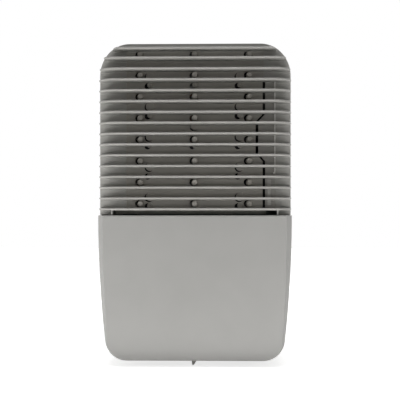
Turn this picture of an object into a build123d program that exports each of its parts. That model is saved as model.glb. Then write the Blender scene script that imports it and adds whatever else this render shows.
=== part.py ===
from build123d import *
import math
import os

# Dehumidifier of the room-standing, compressor kind, on four rubber feet.
# A louvred front wraps round both corners above a water tank that pulls out forwards.
# Millimetres, +Z up, front towards -Y, +X to the right of someone facing the front.
# The origin is on the floor under the middle of the body.

os.makedirs("parts", exist_ok=True)

# ---------------------------------------------------------------- fits
running = 0.05           # radial play of a shaft or pin in its hole
seat = 0.3               # play of a moulded piece in its recess
seam = 0.5               # line where two outer shells meet

# ---------------------------------------------------------------- body
body_width = 354.0
body_depth = 240.0
body_height = 582.0
foot_gap = 9.0           # underside of the body above the floor
wall = 2.5               # moulded shells
shoulder_r = 57.0        # top corners, seen from the front
bottom_r = 40.0          # bottom corners, seen from the front
lower_taper = 17.0       # how far each side draws in from the tank's top to the underside
rear_bevel = 14.0        # slanted rear edge
inner_bevel = rear_bevel - wall * (2 - math.sqrt(2))
shell_split = 60.0       # front frame and tank front reach this far back from the louvre edges
base_height = 43.0       # height of the base tub
cover_height = 57.5      # height of the top cover

half_w = body_width / 2
front_y = -body_depth / 2
back_y = body_depth / 2
bottom_z = foot_gap
top_z = foot_gap + body_height
split_y = front_y + shell_split
base_top_z = bottom_z + base_height
cover_low_z = top_z - cover_height

# ---------------------------------------------------------------- tank front and finger slot
tank_front_height = 266.0
finger_slot = 8.5        # height of the slot over the tank
finger_end = 26.0        # slot's ends in from the body's sides
finger_half = half_w - finger_end
tank_top_z = bottom_z + tank_front_height
sill_z = tank_top_z + finger_slot

# ---------------------------------------------------------------- louvres
louvre_count = 16
louvre_t = 5.0
louvre_depth = 30.0      # front edges to the inner panel's face
louvre_corner_r = 32.0   # where the edges turn round the body's corners
louvre_shoulder_r = 60.0
louvre_inset_top = 5.0   # louvre outline below the body's top
louvre_rise = 29.5       # body's top down to the middle of the second highest louvre
top_gap_share = 0.85     # the opening under the highest louvre is narrower than the rest
louvre_air = 3.0         # space between a louvre and the inner panel
corner_sweep = 14.5      # how far the front wall falls back at each side
panel_y = front_y + louvre_depth
louvre_low_z = sill_z + louvre_t / 2
louvre_pitch = (top_z - louvre_rise - louvre_low_z) / (louvre_count - 2)
louvre_zs = [louvre_low_z + i * louvre_pitch for i in range(louvre_count - 1)]
top_gap = top_gap_share * (louvre_pitch - louvre_t)
louvre_zs.append(louvre_zs[-1] + louvre_t + top_gap)

# ---------------------------------------------------------------- inner panel and side cover
panel_t = 2.5
lip_t = 2.0              # ledge behind the panel's edge
lip_w = 4.0
window_side = 50.2       # frame's window in from the body's sides
window_head = 16.0       # body's top down to the window
window_half = half_w - window_side
cover_strip_w = 21.0     # side cover beyond the window's right edge
cover_strip_top = 68.5   # body's top down to the side cover's upper end
seam_gap = 4.6           # air gap between panel and side cover
tab_depth = 12.9         # the cover's tab reaches this far into the panel
tab_base = 86.5
tab_tip = 59.0
tab_drop = 104.5         # side cover's upper end down to the tab's middle
tab_middle_z = top_z - cover_strip_top - tab_drop
round_sides = 32         # sides of the large round pieces inside
peg_air = 0.45           # between a peg and the louvres either side in the narrowest gap
peg_r = top_gap / 2 - peg_air
peg_length = 14.0
centre_peg_length = 18.0
peg_in = 26.8            # peg columns, discs and air slots in from the window's edges
disc_in = 43.8
slot_in = 54.8
peg_x = window_half - peg_in
disc_r = 7.7
disc_h = 1.2
stud_r = 5.0
stud_h = 2.2
disc_rows = 5
disc_foot = 34.0         # tank's top up to the lowest disc
disc_head = 60.0         # highest disc below the body's top
disc_x = window_half - disc_in
disc_low_z = tank_top_z + disc_foot
disc_pitch = (top_z - disc_head - disc_low_z) / (disc_rows - 1)
stud_below_disc = 16.0
slot_h = 4.4             # air slots, each behind a louvre
slot_half = window_half - slot_in

# ---------------------------------------------------------------- filter
filter_t = 5.0
filter_play = 0.5
mesh_t = 0.4
rail_t = 3.0
filter_grip_w = 70.0
rail_room = 2.4          # side cover's tab to the filter's rail
filter_half = window_half - seam_gap / 2 - tab_depth - rail_t - rail_room
filter_y = panel_y + panel_t + lip_t + filter_play

# ---------------------------------------------------------------- chassis, drip tray, coils
chassis_t = 3.0
bay_share = 0.508        # chassis wall behind the tank, as a share of the body's depth
bay_depth = bay_share * body_depth
bend_out = 6.0           # straight tube past the coil's end plates
coil_air = 1.0           # fins clear of the tray
coil_t = 25.0
coil_gap = 6.0
coil_side = 65.0         # fins in from the body's sides
coil_head = 61.0         # fins below the body's top
coil_half = half_w - coil_side
coil_passes = 5
coil_end = 24.0          # fins beyond the first and last pass
tube_r = 4.75
fin_t = 0.6
fin_count = 28
tray_wall = 2.0
tray_h = 14.0
tray_margin = 3.0
tray_half = coil_half + bend_out + tube_r + coil_air
deck_z = sill_z + 0.5
deck_top_z = deck_z + chassis_t
chassis_wall_y = front_y + bay_depth
filter_back_y = filter_y + filter_t
evaporator_y = filter_back_y + mesh_t + rail_t + tray_margin + coil_air
condenser_y = evaporator_y + coil_t + coil_gap
coil_back_y = condenser_y + coil_t
tray_front_y = evaporator_y - tray_margin
tray_back_y = coil_back_y + tray_margin
coil_low_z = deck_top_z + tray_wall + coil_air
coil_top_z = top_z - coil_head
coil_h = coil_top_z - coil_low_z
coil_pass_pitch = (coil_h - 2 * coil_end) / (coil_passes - 1)

# ---------------------------------------------------------------- fan, scroll and motor
depth_in_front = 184.0   # coils, motor and air, of the body's depth: the scroll takes the rest
scroll_depth = body_depth - depth_in_front
wheel_play = 12.0        # wheel narrower than the scroll
wheel_r = 78.0
wheel_w = scroll_depth - wheel_play
wheel_blades = 24
ring_t = 2.0             # wheel's end rings
ring_edge = 2.0
blade_t = 1.2
blade_lean = 7.0         # blade's tip ahead of its root
blade_chord_in = 63.0    # radius where the blades begin
scroll_wall = 2.0
scroll_air = 8.0         # coils to the scroll's mouth
scroll_gap = 10.0        # over the wheel, at the tongue
scroll_growth = 9.0      # each quarter of the scroll is this much larger in radius
tongue_x = 42.0
fan_x = -44.0
shaft_r = 4.0
hub_r = 14.0
motor_r = 42.0
motor_length = 42.0
inlet_r = 62.0
bracket_t = 3.0
bracket_w = 14.0
scroll_y = coil_back_y + scroll_air
scroll_back_y = scroll_y + scroll_depth
scroll_r1 = wheel_r + 2 * scroll_gap
scroll_r2 = scroll_r1 + scroll_growth
scroll_r3 = scroll_r2 + scroll_growth
scroll_start = wheel_r + scroll_gap
fan_z = deck_top_z + scroll_wall + scroll_r1 + scroll_r2 - scroll_start
outlet_side = 93.0       # outlet grille in from the body's sides
duct_inset = 4.0         # duct narrower than the grille over it
outlet_half = half_w - outlet_side
duct_half = outlet_half - duct_inset
grille_t = 10.0          # outlet grille, top to underside
duct_top_z = top_z - grille_t - seam

# ---------------------------------------------------------------- compressor bay
compressor_air = 8.3     # between the compressor and the walls of its bay
compressor_h = 168.0
compressor_round = 18.0
terminal_w = 26.0
terminal_d = 18.0
terminal_h = 14.0
terminal_right = 6.0     # terminal cover beside and in front of the compressor's axis
terminal_front = 11.0
mount_h = 12.0
mount_r = 9.0
mount_in = 4.0           # mounts' circle inside the compressor's radius
accumulator_r = 20.0
accumulator_h = 105.0
pipe_r = 4.0
suction_r = 5.0
capillary_r = 1.6
drier_r = 8.0
drier_h = 58.0
capacitor_w = 50.0
capacitor_d = 28.0
capacitor_h = 40.0
foot_plate_t = 3.0
pipe_room = 14.0         # between the side wall and the hot-gas pipe
accumulator_gap = 14.0   # accumulator to compressor, and to the side wall
accumulator_rise = 34.0
strap_w = 12.0
hot_run_drop = 26.0      # hot-gas pipe's level run below the deck
drier_gap = 2.0
drier_rise = 24.0
compressor_r = (back_y - wall - chassis_wall_y - chassis_t) / 2 - compressor_air
compressor_y = (chassis_wall_y + chassis_t + back_y - wall) / 2
compressor_z = bottom_z + wall + mount_h
side_run_x = -(half_w - wall - pipe_room)
accumulator_x = -(half_w - wall - accumulator_gap - accumulator_r)
compressor_x = accumulator_x + accumulator_r + accumulator_gap + compressor_r

# ---------------------------------------------------------------- tank
tank_play = 3.5          # between the tank and the housing's walls
tank_wall = 2.0
tank_back_play = 3.0
grip_side = 72.0         # finger trough's ends in from the body's sides
grip_half = half_w - grip_side
grip_depth = 30.0
grip_height = 38.0
front_skin = 3.0
face_inset_top = 10.0    # flat of the tank front inside its widest line, at the top
face_inset_low = 3.5     # and near the underside
face_rake = 16.0         # depth of the slanted border
lid_t = 2.5
lid_below = 5.0          # lid's upper side below the tank front's top
tank_inset = wall + tank_play
skin_back_y = front_y + face_rake
bucket_front_y = skin_back_y
bucket_back_y = chassis_wall_y - tank_back_play
bucket_top_z = tank_top_z - lid_below - lid_t
inlet_side = 115.0
inlet_x = half_w - inlet_side
inlet_hole_r = 19.0
spout_r = 7.0
float_side = 53.0
float_x = -(half_w - float_side)
float_back = 14.0        # float's middle behind the bucket's middle
pivot_drop = 10.0        # pivot below the bucket's rim
ear_gap = 8.0
lid_play = 0.6
lid_rim_in = 12.0        # lid's rim in from the lid's ends
float_l = 34.0
float_w = 46.0
float_h = 22.0
float_arm = 46.0
float_drop = 24.0        # float's middle below its pivot when the tank is empty
pivot_r = 1.5

# ---------------------------------------------------------------- top: controls, outlet, handle
panel_side = 73.0        # control panel in from the body's sides
panel_w = 2 * (half_w - panel_side)
panel_d = 36.0
plate_t = 2.5
panel_corner_r = 6.0
panel_ledge = 4.0        # ledge round and under the control panel
panel_rim = 3.0          # its own rim on that ledge
control_y = split_y + 5.0 + panel_d / 2
button_count = 5
button_pitch = panel_w / 8
button_gap = 6.0
button_w = button_pitch - button_gap
button_d = 11.0
button_proud = 1.2
button_travel = 1.0
button_skirt = 1.0       # collar under the panel
button_skirt_t = 1.2
button_stem = 4.0
window_w = 2 * button_pitch - button_gap
window_d = 18.0
window_gap = 8.0         # buttons to display window
board_drop = 10.0        # board below the panel's plate
board_t = 1.6
switch_drop = 6.0
post_in_x = 8.0
post_in_y = 6.5
post_w = 5.0
outlet_rim = 3.0
outlet_play = 6.0        # grille shallower than the scroll under it
outlet_d = scroll_depth - outlet_play
vane_count = 9
vane_t = 1.8
handle_bar = 12.0
handle_thick = 9.0
handle_pivot_in = 12.0   # pivots in front of the outlet grille's middle
handle_behind = 21.0     # middle of the handle's bar behind the outlet grille
handle_arm = handle_pivot_in + outlet_d / 2 + handle_behind
arm_gap = 18.0           # middle of each arm from the outlet grille
handle_half = outlet_half + arm_gap
recess_half = 44.0       # place for fingers behind the handle
recess_d = 16.0
handle_pin_r = 3.0
groove_play = 1.0
outlet_y = scroll_y + scroll_depth / 2
handle_pivot_y = outlet_y - handle_pivot_in
handle_top_z = top_z - 1.0
handle_z = handle_top_z - handle_thick / 2

# ---------------------------------------------------------------- rear fittings
port_side = 59.0         # hose port and cord gland in from the body's right side
gland_side = 51.0
port_x = half_w - port_side
port_r = 6.5             # outside of the hose spigot
port_bore_r = 4.5
port_length = 15.0
pocket_w = 44.0
pocket_h = 40.0
pocket_d = 20.0
cap_wall = 1.5
gland_flange = 2.0
gland_inside = 8.0
gland_x = half_w - gland_side
gland_z = 62.0
gland_r = 9.0
gland_bore_r = 4.2
foot_w = 34.0
foot_d = 18.0
foot_chamfer = 1.5
foot_side = 85.0
foot_x = half_w - foot_side
foot_front_in = 86.0     # middle of the front feet back from the louvre edges
foot_rear_in = 32.0


def at_depth(y):
    """Plane that looks at the front, with x to the right and z up, at depth y."""
    return Plane.XZ.offset(-y)


def body_outline(inset=0.0, drop=0.0, shoulder=shoulder_r):
    """Front view of the body: round shoulders, upright flanks, sides drawn in lower down."""
    half = half_w - inset
    high = top_z - drop - inset
    low = bottom_z + inset
    r = shoulder - inset
    with BuildLine() as edge:
        Line((0, high), (half - r, high))
        TangentArc((half - r, high), (half, high - r), tangent=(1, 0))
        Line((half, high - r), (half, tank_top_z))
        TangentArc((half, tank_top_z), (half - lower_taper, low), tangent=(0, -1))
        Line((half - lower_taper, low), (0, low))
        mirror(about=Plane.YZ)
    make_face(edge.edges())
    fillet(vertices().group_by(Axis.Y)[0].sort_by(Axis.X)[0], bottom_r - inset)
    fillet(vertices().group_by(Axis.Y)[0].sort_by(Axis.X)[-1], bottom_r - inset)


def frame_plan(inset=0.0, front_inset=0.0):
    """Top view of the front wall: flat behind the louvres, swept back on an arc at each side."""
    half = half_w - inset
    flat_y = panel_y + front_inset
    side_y = flat_y + corner_sweep
    rear_y = split_y + inset
    with BuildLine() as edge:
        Line((0, flat_y), (window_half, flat_y))
        TangentArc((window_half, flat_y), (half, side_y), tangent=(1, 0))
        Line((half, side_y), (half, rear_y))
        Line((half, rear_y), (0, rear_y))
        mirror(about=Plane.YZ)
    make_face(edge.edges())


def louvre_plan(rear_y):
    """Top view of one louvre: straight front edge, turned back round both corners."""
    with BuildLine() as edge:
        Line((0, front_y), (half_w - louvre_corner_r, front_y))
        TangentArc(
            (half_w - louvre_corner_r, front_y),
            (half_w, front_y + louvre_corner_r),
            tangent=(1, 0),
        )
        Line((half_w, front_y + louvre_corner_r), (half_w, rear_y))
        Line((half_w, rear_y), (0, rear_y))
        mirror(about=Plane.YZ)
    make_face(edge.edges())


def span(low, high):
    """Middle and length of a stretch, for a rectangle between two edges."""
    return (low + high) / 2, high - low


def rectangle(x_low, x_high, y_low, y_high, mode=Mode.ADD):
    """Rectangle given by its four edges."""
    x, width = span(x_low, x_high)
    y, depth = span(y_low, y_high)
    with Locations((x, y)):
        Rectangle(width, depth, mode=mode)


# ---------------------------------------------------------------- front frame with its louvres
with BuildPart() as frame_block:
    with BuildSketch(Plane.XY.offset(sill_z)):
        frame_plan()
    extrude(amount=top_z - sill_z)
    with BuildSketch(at_depth(front_y)):
        body_outline()
    extrude(amount=-body_depth, mode=Mode.INTERSECT)

with BuildPart() as frame_hollow:
    with BuildSketch(Plane.XY.offset(sill_z - 1)):
        frame_plan(wall, panel_t + lip_t)
    extrude(amount=top_z - sill_z + 1)
    with BuildSketch(at_depth(front_y)):
        body_outline(inset=wall)
    extrude(amount=-body_depth, mode=Mode.INTERSECT)

window_low_z = sill_z + louvre_t
window_high_z = top_z - window_head
cover_right_x = window_half + cover_strip_w
strip_top_z = top_z - cover_strip_top

with BuildPart() as front_grille:
    for z in louvre_zs[1:]:
        with BuildSketch(Plane.XY.offset(z - louvre_t / 2)):
            louvre_plan(panel_y + corner_sweep)
            rectangle(
                -window_half, window_half, panel_y - louvre_air, split_y, Mode.SUBTRACT
            )
            rectangle(
                window_half, cover_right_x + seat, panel_y - seat, split_y, Mode.SUBTRACT
            )
        extrude(amount=louvre_t)
    with BuildSketch(at_depth(front_y)):
        body_outline(drop=louvre_inset_top, shoulder=louvre_shoulder_r)
    extrude(amount=-body_depth, mode=Mode.INTERSECT)
    add(frame_block.part)
    add(frame_hollow.part, mode=Mode.SUBTRACT)
    # Sill under the louvres, and the blocks at both ends of the finger slot.
    with BuildSketch(Plane.XY.offset(sill_z)):
        louvre_plan(panel_y + panel_t + lip_t)
    extrude(amount=louvre_t)
    with BuildSketch(Plane.XY.offset(tank_top_z + seam)):
        louvre_plan(split_y)
        rectangle(-finger_half, finger_half, front_y - 1, split_y + 1, Mode.SUBTRACT)
    extrude(amount=finger_slot - seam)
    # Window for the inner panel, with a ledge behind the panel's edge.
    with BuildSketch(at_depth(panel_y)):
        rectangle(-window_half, window_half, window_low_z, window_high_z)
        rectangle(0, cover_right_x + seat, window_low_z, strip_top_z)
    extrude(amount=-panel_t, mode=Mode.SUBTRACT)
    with BuildSketch(at_depth(panel_y)):
        rectangle(
            -window_half + lip_w, window_half - lip_w, window_low_z, window_high_z - lip_w
        )
        rectangle(0, cover_right_x - lip_w, window_low_z, strip_top_z - lip_w)
    extrude(amount=-(panel_t + 3 * lip_t), mode=Mode.SUBTRACT)
    # Slot in the top wall, for the filter.
    with BuildSketch(Plane.XY.offset(top_z - 2 * wall)):
        rectangle(
            -filter_half - seat,
            filter_half + seat,
            filter_y - seat,
            filter_back_y + mesh_t + seat,
        )
    extrude(amount=3 * wall, mode=Mode.SUBTRACT)

# ---------------------------------------------------------------- inner panel
seam_left = window_half - seam_gap / 2
seam_right = window_half + seam_gap / 2
tab_low_z = tab_middle_z - tab_base / 2
tab_high_z = tab_middle_z + tab_base / 2
tip_low_z = tab_middle_z - tab_tip / 2
tip_high_z = tab_middle_z + tab_tip / 2
panel_low_z = window_low_z + seat
panel_high_z = window_high_z - seat
rail_low_z = window_low_z + 1.0
rail_high_z = window_high_z - lip_w - seat
rail_hook_y = filter_back_y + mesh_t + seat
rail_back_y = rail_hook_y + rail_t - seat

with BuildPart() as inner_panel:
    with BuildSketch(at_depth(panel_y)):
        with BuildLine():
            Polyline(
                (-window_half + seat, panel_low_z),
                (seam_left, panel_low_z),
                (seam_left, tab_low_z),
                (seam_left - tab_depth, tip_low_z),
                (seam_left - tab_depth, tip_high_z),
                (seam_left, tab_high_z),
                (seam_left, strip_top_z),
                (window_half - seat, strip_top_z),
                (window_half - seat, panel_high_z),
                (-window_half + seat, panel_high_z),
                close=True,
            )
        make_face()
        # Air slots, each hidden behind a louvre.
        with Locations(*[(0, z) for z in louvre_zs[1:-1]]):
            Rectangle(2 * slot_half, slot_h, mode=Mode.SUBTRACT)
    extrude(amount=-panel_t)
    # Long pegs, one in every second gap between louvres, in three columns.
    peg_zs = [(low + high) / 2 for low, high in zip(louvre_zs[::2], louvre_zs[1::2])]
    with BuildSketch(at_depth(panel_y)):
        with Locations(*[(x, z) for x in (-peg_x, peg_x) for z in peg_zs]):
            RegularPolygon(peg_r, 8)
    extrude(amount=peg_length)
    with BuildSketch(at_depth(panel_y)):
        with Locations(*[(0, z) for z in peg_zs]):
            RegularPolygon(peg_r, 8)
    extrude(amount=centre_peg_length)
    # Flat discs and short studs between the peg columns.
    disc_zs = [disc_low_z + i * disc_pitch for i in range(disc_rows)]
    with BuildSketch(at_depth(panel_y)):
        with Locations(*[(x, z) for x in (-disc_x, disc_x) for z in disc_zs]):
            RegularPolygon(disc_r, 8)
        with Locations((0, disc_zs[disc_rows // 2] + louvre_pitch)):
            RegularPolygon(disc_r, 8)
    extrude(amount=disc_h)
    with BuildSketch(at_depth(panel_y)):
        for z in disc_zs:
            with Locations((-disc_x, z - stud_below_disc), (disc_x, z - stud_below_disc)):
                RegularPolygon(stud_r, 6)
        for z in disc_zs[2::2]:
            with Locations((0, z - stud_below_disc)):
                RegularPolygon(stud_r, 6)
    extrude(amount=stud_h)
    # Two rails on the back guide the filter, and a foot at each end stops it.
    for side in (-1, 1):
        inner = side * (filter_half + seat)
        outer = side * (filter_half + seat + rail_t)
        with BuildSketch(Plane.XY.offset(rail_low_z)):
            rectangle(
                min(inner, outer), max(inner, outer), panel_y + panel_t, rail_back_y
            )
            toe = side * (filter_half - rail_t)
            rectangle(
                min(toe, outer), max(toe, outer), rail_hook_y, rail_hook_y + rail_t - seat
            )
        extrude(amount=rail_high_z - rail_low_z)
        with BuildSketch(Plane.XY.offset(rail_low_z)):
            rectangle(
                min(toe, outer), max(toe, outer), panel_y + panel_t, rail_back_y
            )
        extrude(amount=rail_t)

with BuildPart() as side_cover:
    with BuildSketch(at_depth(panel_y)):
        with BuildLine():
            Polyline(
                (seam_right, panel_low_z),
                (cover_right_x, panel_low_z),
                (cover_right_x, strip_top_z - seat),
                (seam_right, strip_top_z - seat),
                (seam_right, tab_high_z),
                (seam_right - tab_depth, tip_high_z),
                (seam_right - tab_depth, tip_low_z),
                (seam_right, tab_low_z),
                close=True,
            )
        make_face()
    extrude(amount=-panel_t)

# ---------------------------------------------------------------- filter
filter_low_z = rail_low_z + rail_t + seat
filter_high_z = top_z - 0.5
filter_bar = 6.0
filter_cells = 4
with BuildPart() as filter_frame:
    with BuildSketch(at_depth(filter_y)):
        rectangle(-filter_half, filter_half, filter_low_z, filter_high_z)
        cell_w = (2 * filter_half - filter_bar) / filter_cells
        cell_h = (filter_high_z - filter_low_z - filter_bar - 2 * wall) / filter_cells
        cell_x0 = -filter_half + filter_bar / 2 + cell_w / 2
        cell_z0 = filter_low_z + filter_bar / 2 + cell_h / 2
        with Locations(
            *[
                (cell_x0 + i * cell_w, cell_z0 + j * cell_h)
                for i in range(filter_cells)
                for j in range(filter_cells)
            ]
        ):
            Rectangle(cell_w - filter_bar, cell_h - filter_bar, mode=Mode.SUBTRACT)
    extrude(amount=-filter_t)

with BuildPart() as filter_mesh:
    with BuildSketch(at_depth(filter_back_y)):
        inset = filter_bar / 2
        rectangle(
            -filter_half + inset,
            filter_half - inset,
            filter_low_z + inset,
            filter_high_z - 2 * wall - inset,
        )
    extrude(amount=-mesh_t)

# ---------------------------------------------------------------- body shell, cut into three below
with BuildPart() as shell_outer:
    with BuildSketch(at_depth(split_y + seam)):
        body_outline()
    extrude(amount=-(back_y - split_y - seam))
    chamfer(edges().group_by(Axis.Y)[-1], rear_bevel)

with BuildPart() as shell_inner:
    with BuildSketch(at_depth(split_y)):
        body_outline(inset=wall)
    extrude(amount=-(back_y - wall - split_y))
    chamfer(edges().group_by(Axis.Y)[-1], inner_bevel)

port_z = deck_top_z + tray_wall + port_r
pocket_floor_y = back_y - pocket_d

with BuildPart() as rear_housing:
    add(shell_outer.part)
    add(shell_inner.part, mode=Mode.SUBTRACT)
    split(bisect_by=Plane.XY.offset(base_top_z + seam), keep=Keep.TOP)
    split(bisect_by=Plane.XY.offset(cover_low_z), keep=Keep.BOTTOM)
    # Pocket that keeps the hose spigot inside the body's depth.
    with BuildSketch(at_depth(back_y - wall)):
        with Locations((port_x, port_z)):
            Rectangle(pocket_w + 2 * wall, pocket_h + 2 * wall)
    extrude(amount=pocket_d)
    with BuildSketch(at_depth(back_y)):
        with Locations((port_x, port_z)):
            Rectangle(pocket_w, pocket_h)
    extrude(amount=pocket_d, mode=Mode.SUBTRACT)
    with BuildSketch(at_depth(pocket_floor_y)):
        with Locations((port_x, port_z)):
            Circle(port_r + seat)
    extrude(amount=2 * wall, mode=Mode.SUBTRACT)
    # Hole and seat for the cord gland.
    with BuildSketch(at_depth(back_y)):
        with Locations((gland_x, gland_z)):
            RegularPolygon(gland_r + seat, 6)
    extrude(amount=wall, mode=Mode.SUBTRACT)

# ---------------------------------------------------------------- base tub, tongue, spout and feet
tongue_half = half_w - lower_taper - bottom_r - 8.0
tongue_front_y = skin_back_y + 1.0
tank_rib_h = tank_inset - wall - seat
spout_nub_y = tongue_front_y + 6.0

with BuildPart() as base_pan:
    add(shell_outer.part)
    add(shell_inner.part, mode=Mode.SUBTRACT)
    split(bisect_by=Plane.XY.offset(base_top_z), keep=Keep.BOTTOM)
    # Tongue that carries the tank, and its two runner ribs.
    with BuildSketch(Plane.XY.offset(bottom_z)):
        rectangle(-tongue_half, tongue_half, tongue_front_y, split_y + 2)
    extrude(amount=wall)
    with BuildSketch(Plane.XY.offset(bottom_z + wall)):
        for x in (-tongue_half * 0.7, tongue_half * 0.7):
            rectangle(x - 2, x + 2, tongue_front_y, bucket_back_y)
    extrude(amount=tank_rib_h)
    # Drain nipple under the front edge, leaning to the left.
    with BuildSketch(Plane.XY.offset(bottom_z)):
        with Locations((-1.2, spout_nub_y)):
            Circle(4.5)
    with BuildSketch(Plane.XY.offset(1.0)):
        with Locations((-3.4, spout_nub_y)):
            Circle(1.9)
    loft()

with BuildPart() as feet:
    foot_places = [
        (x, y)
        for x in (-foot_x, foot_x)
        for y in (front_y + foot_front_in, back_y - foot_rear_in)
    ]
    with BuildSketch(Plane.XY):
        with Locations(*foot_places):
            Rectangle(foot_w, foot_d)
    extrude(amount=bottom_z)
    chamfer(edges().group_by(Axis.Z)[0], foot_chamfer)

# ---------------------------------------------------------------- chassis: deck and tank-bay wall
chassis_front_y = panel_y + panel_t + lip_t + seat
spout_y = evaporator_y + coil_t + coil_gap / 2
hot_y = compressor_y + compressor_r / 3

with BuildPart() as chassis:
    with BuildSketch(at_depth(chassis_front_y)):
        body_outline(inset=wall + seat)
    extrude(amount=-(back_y - wall - seat - chassis_front_y))
    chamfer(edges().group_by(Axis.Y)[-1], inner_bevel)
    with BuildSketch(Plane.YZ):
        rectangle(chassis_front_y - 1, back_y, deck_z, deck_top_z)
        rectangle(chassis_wall_y, chassis_wall_y + chassis_t, 0, deck_top_z)
    extrude(amount=body_width, both=True, mode=Mode.INTERSECT)
    with BuildSketch(Plane.XY):
        frame_plan(wall + seat, panel_t + lip_t + seat)
        rectangle(-half_w, half_w, split_y, back_y)
    extrude(amount=body_height, mode=Mode.INTERSECT)
    with BuildSketch(Plane.XY.offset(deck_z)):
        with Locations((inlet_x, spout_y)):
            RegularPolygon(spout_r + seat, 8, major_radius=False)
        with Locations((side_run_x, hot_y)):
            Rectangle(2 * pipe_r + 4 * seat, 2 * pipe_r + 4 * seat)
        with Locations((accumulator_x, compressor_y)):
            Rectangle(2 * suction_r + 4 * seat, 2 * suction_r + 4 * seat)
        rectangle(
            port_x - pocket_w / 2 - wall - seat,
            port_x + pocket_w / 2 + wall + seat,
            pocket_floor_y - wall - seat,
            back_y,
        )
    extrude(amount=chassis_t, mode=Mode.SUBTRACT)

# ---------------------------------------------------------------- drip tray and hose outlet
spout_low_z = bucket_top_z + lid_t + 3.0
with BuildPart() as drip_tray:
    with BuildSketch(Plane.XY.offset(deck_top_z)):
        rectangle(-tray_half, tray_half, tray_front_y, tray_back_y)
    extrude(amount=tray_h)
    with BuildSketch(Plane.XY.offset(deck_top_z + tray_wall)):
        rectangle(
            -tray_half + tray_wall,
            tray_half - tray_wall,
            tray_front_y + tray_wall,
            tray_back_y - tray_wall,
        )
    extrude(amount=tray_h, mode=Mode.SUBTRACT)
    with BuildSketch(Plane.XY.offset(spout_low_z)):
        with Locations((inlet_x, spout_y)):
            RegularPolygon(spout_r, 8, major_radius=False)
    extrude(amount=deck_top_z + tray_wall - spout_low_z)
    with BuildSketch(Plane.XY.offset(spout_low_z)):
        with Locations((inlet_x, spout_y)):
            RegularPolygon(spout_r - tray_wall, 8, major_radius=False)
    extrude(amount=deck_top_z + tray_wall - spout_low_z, mode=Mode.SUBTRACT)
    with BuildSketch(at_depth(tray_back_y)):
        with Locations((port_x, port_z)):
            Circle(port_bore_r)
    extrude(amount=tray_wall, mode=Mode.SUBTRACT)

with BuildPart() as drain_port:
    with BuildSketch(at_depth(tray_back_y)):
        with Locations((port_x, port_z)):
            Circle(port_r)
            Circle(port_bore_r, mode=Mode.SUBTRACT)
    extrude(amount=-(pocket_floor_y + port_length - tray_back_y))

with BuildPart() as drain_cap:
    with BuildSketch(at_depth(pocket_floor_y + seat)):
        with Locations((port_x, port_z)):
            RegularPolygon(port_r + seat + cap_wall, 12, major_radius=False)
    extrude(amount=-(port_length + cap_wall))
    with BuildSketch(at_depth(pocket_floor_y + seat)):
        with Locations((port_x, port_z)):
            Circle(port_r + seat)
    extrude(amount=-port_length, mode=Mode.SUBTRACT)

with BuildPart() as cord_gland:
    with BuildSketch(at_depth(back_y)):
        with Locations((gland_x, gland_z)):
            RegularPolygon(gland_r, 6)
    extrude(amount=wall)
    with BuildSketch(at_depth(back_y - wall)):
        with Locations((gland_x, gland_z)):
            RegularPolygon(gland_r + gland_flange, 6)
    extrude(amount=gland_inside)
    with BuildSketch(at_depth(back_y)):
        with Locations((gland_x, gland_z)):
            Circle(gland_bore_r)
    extrude(amount=2 * gland_r + wall, mode=Mode.SUBTRACT)


# ---------------------------------------------------------------- evaporator and condenser
return_x = coil_half + bend_out
stub_x = coil_half + 2 * bend_out
bend_x = return_x + tube_r
suction_x = -(bend_x + suction_r + 2.0)


def pipe(points, radius):
    """Pipe along straight runs with mitred corners, eight-sided to keep its faces few."""
    with BuildLine() as path:
        Polyline(*points)
    with BuildSketch(Plane(origin=path.line @ 0, z_dir=path.line % 0)) as section:
        RegularPolygon(radius, 8)
    sweep(section.sketch, path=path.line, transition=Transition.RIGHT)


def coil_fins(front):
    """Row of upright fins, front edges at depth front."""
    pitch = 2 * coil_half / fin_count
    with BuildSketch(Plane.XY.offset(coil_low_z)) as fins:
        with Locations((0, front + coil_t / 2)):
            with GridLocations(pitch, 1, fin_count, 1):
                Rectangle(fin_t, coil_t)
    extrude(fins.sketch, amount=coil_h)


def coil_tube(front, side):
    """One tube that crosses the fins pass by pass, from the bottom on one side to the top."""
    y = front + coil_t / 2
    points = []
    for i in range(coil_passes):
        z = coil_low_z + coil_end + i * coil_pass_pitch
        points += [(-side * return_x, y, z), (side * return_x, y, z)]
        side = -side
    first, last = points[0], points[-1]
    points[0] = (math.copysign(stub_x, first[0]), y, first[2])
    points[-1] = (math.copysign(stub_x, last[0]), y, last[2])
    pipe(points, tube_r)


with BuildPart() as evaporator_fins:
    coil_fins(evaporator_y)
with BuildPart() as condenser_fins:
    coil_fins(condenser_y)
with BuildPart() as evaporator_tube:
    coil_tube(evaporator_y, 1)
with BuildPart() as condenser_tube:
    coil_tube(condenser_y, -1)

plate_x = coil_half + 1.2
with BuildPart() as coil_plates:
    with BuildSketch(Plane.XY.offset(deck_top_z + tray_wall)):
        for x in (-plate_x, plate_x):
            rectangle(x - 0.6, x + 0.6, evaporator_y, coil_back_y)
    extrude(amount=coil_h + coil_air)


# ---------------------------------------------------------------- fan scroll
def scroll_outline(grow=0.0, rise=0.0):
    """Scroll in front view: three quarter arcs that widen, then the duct up to the grille."""
    start = (fan_x, fan_z + scroll_start + grow)
    with BuildLine() as edge:
        upper = JernArc(start, (-1, 0), scroll_r1 + grow, 90)
        lower = JernArc(upper @ 1, (0, -1), scroll_r2 + grow, 90)
        rising = JernArc(lower @ 1, (1, 0), scroll_r3 + grow, 90)
        Polyline(
            rising @ 1,
            (duct_half + grow, duct_top_z + rise),
            (-duct_half - grow, duct_top_z + rise),
            (fan_x + tongue_x - grow, fan_z + scroll_start + grow),
            start,
        )
    make_face(edge.edges())


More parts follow.
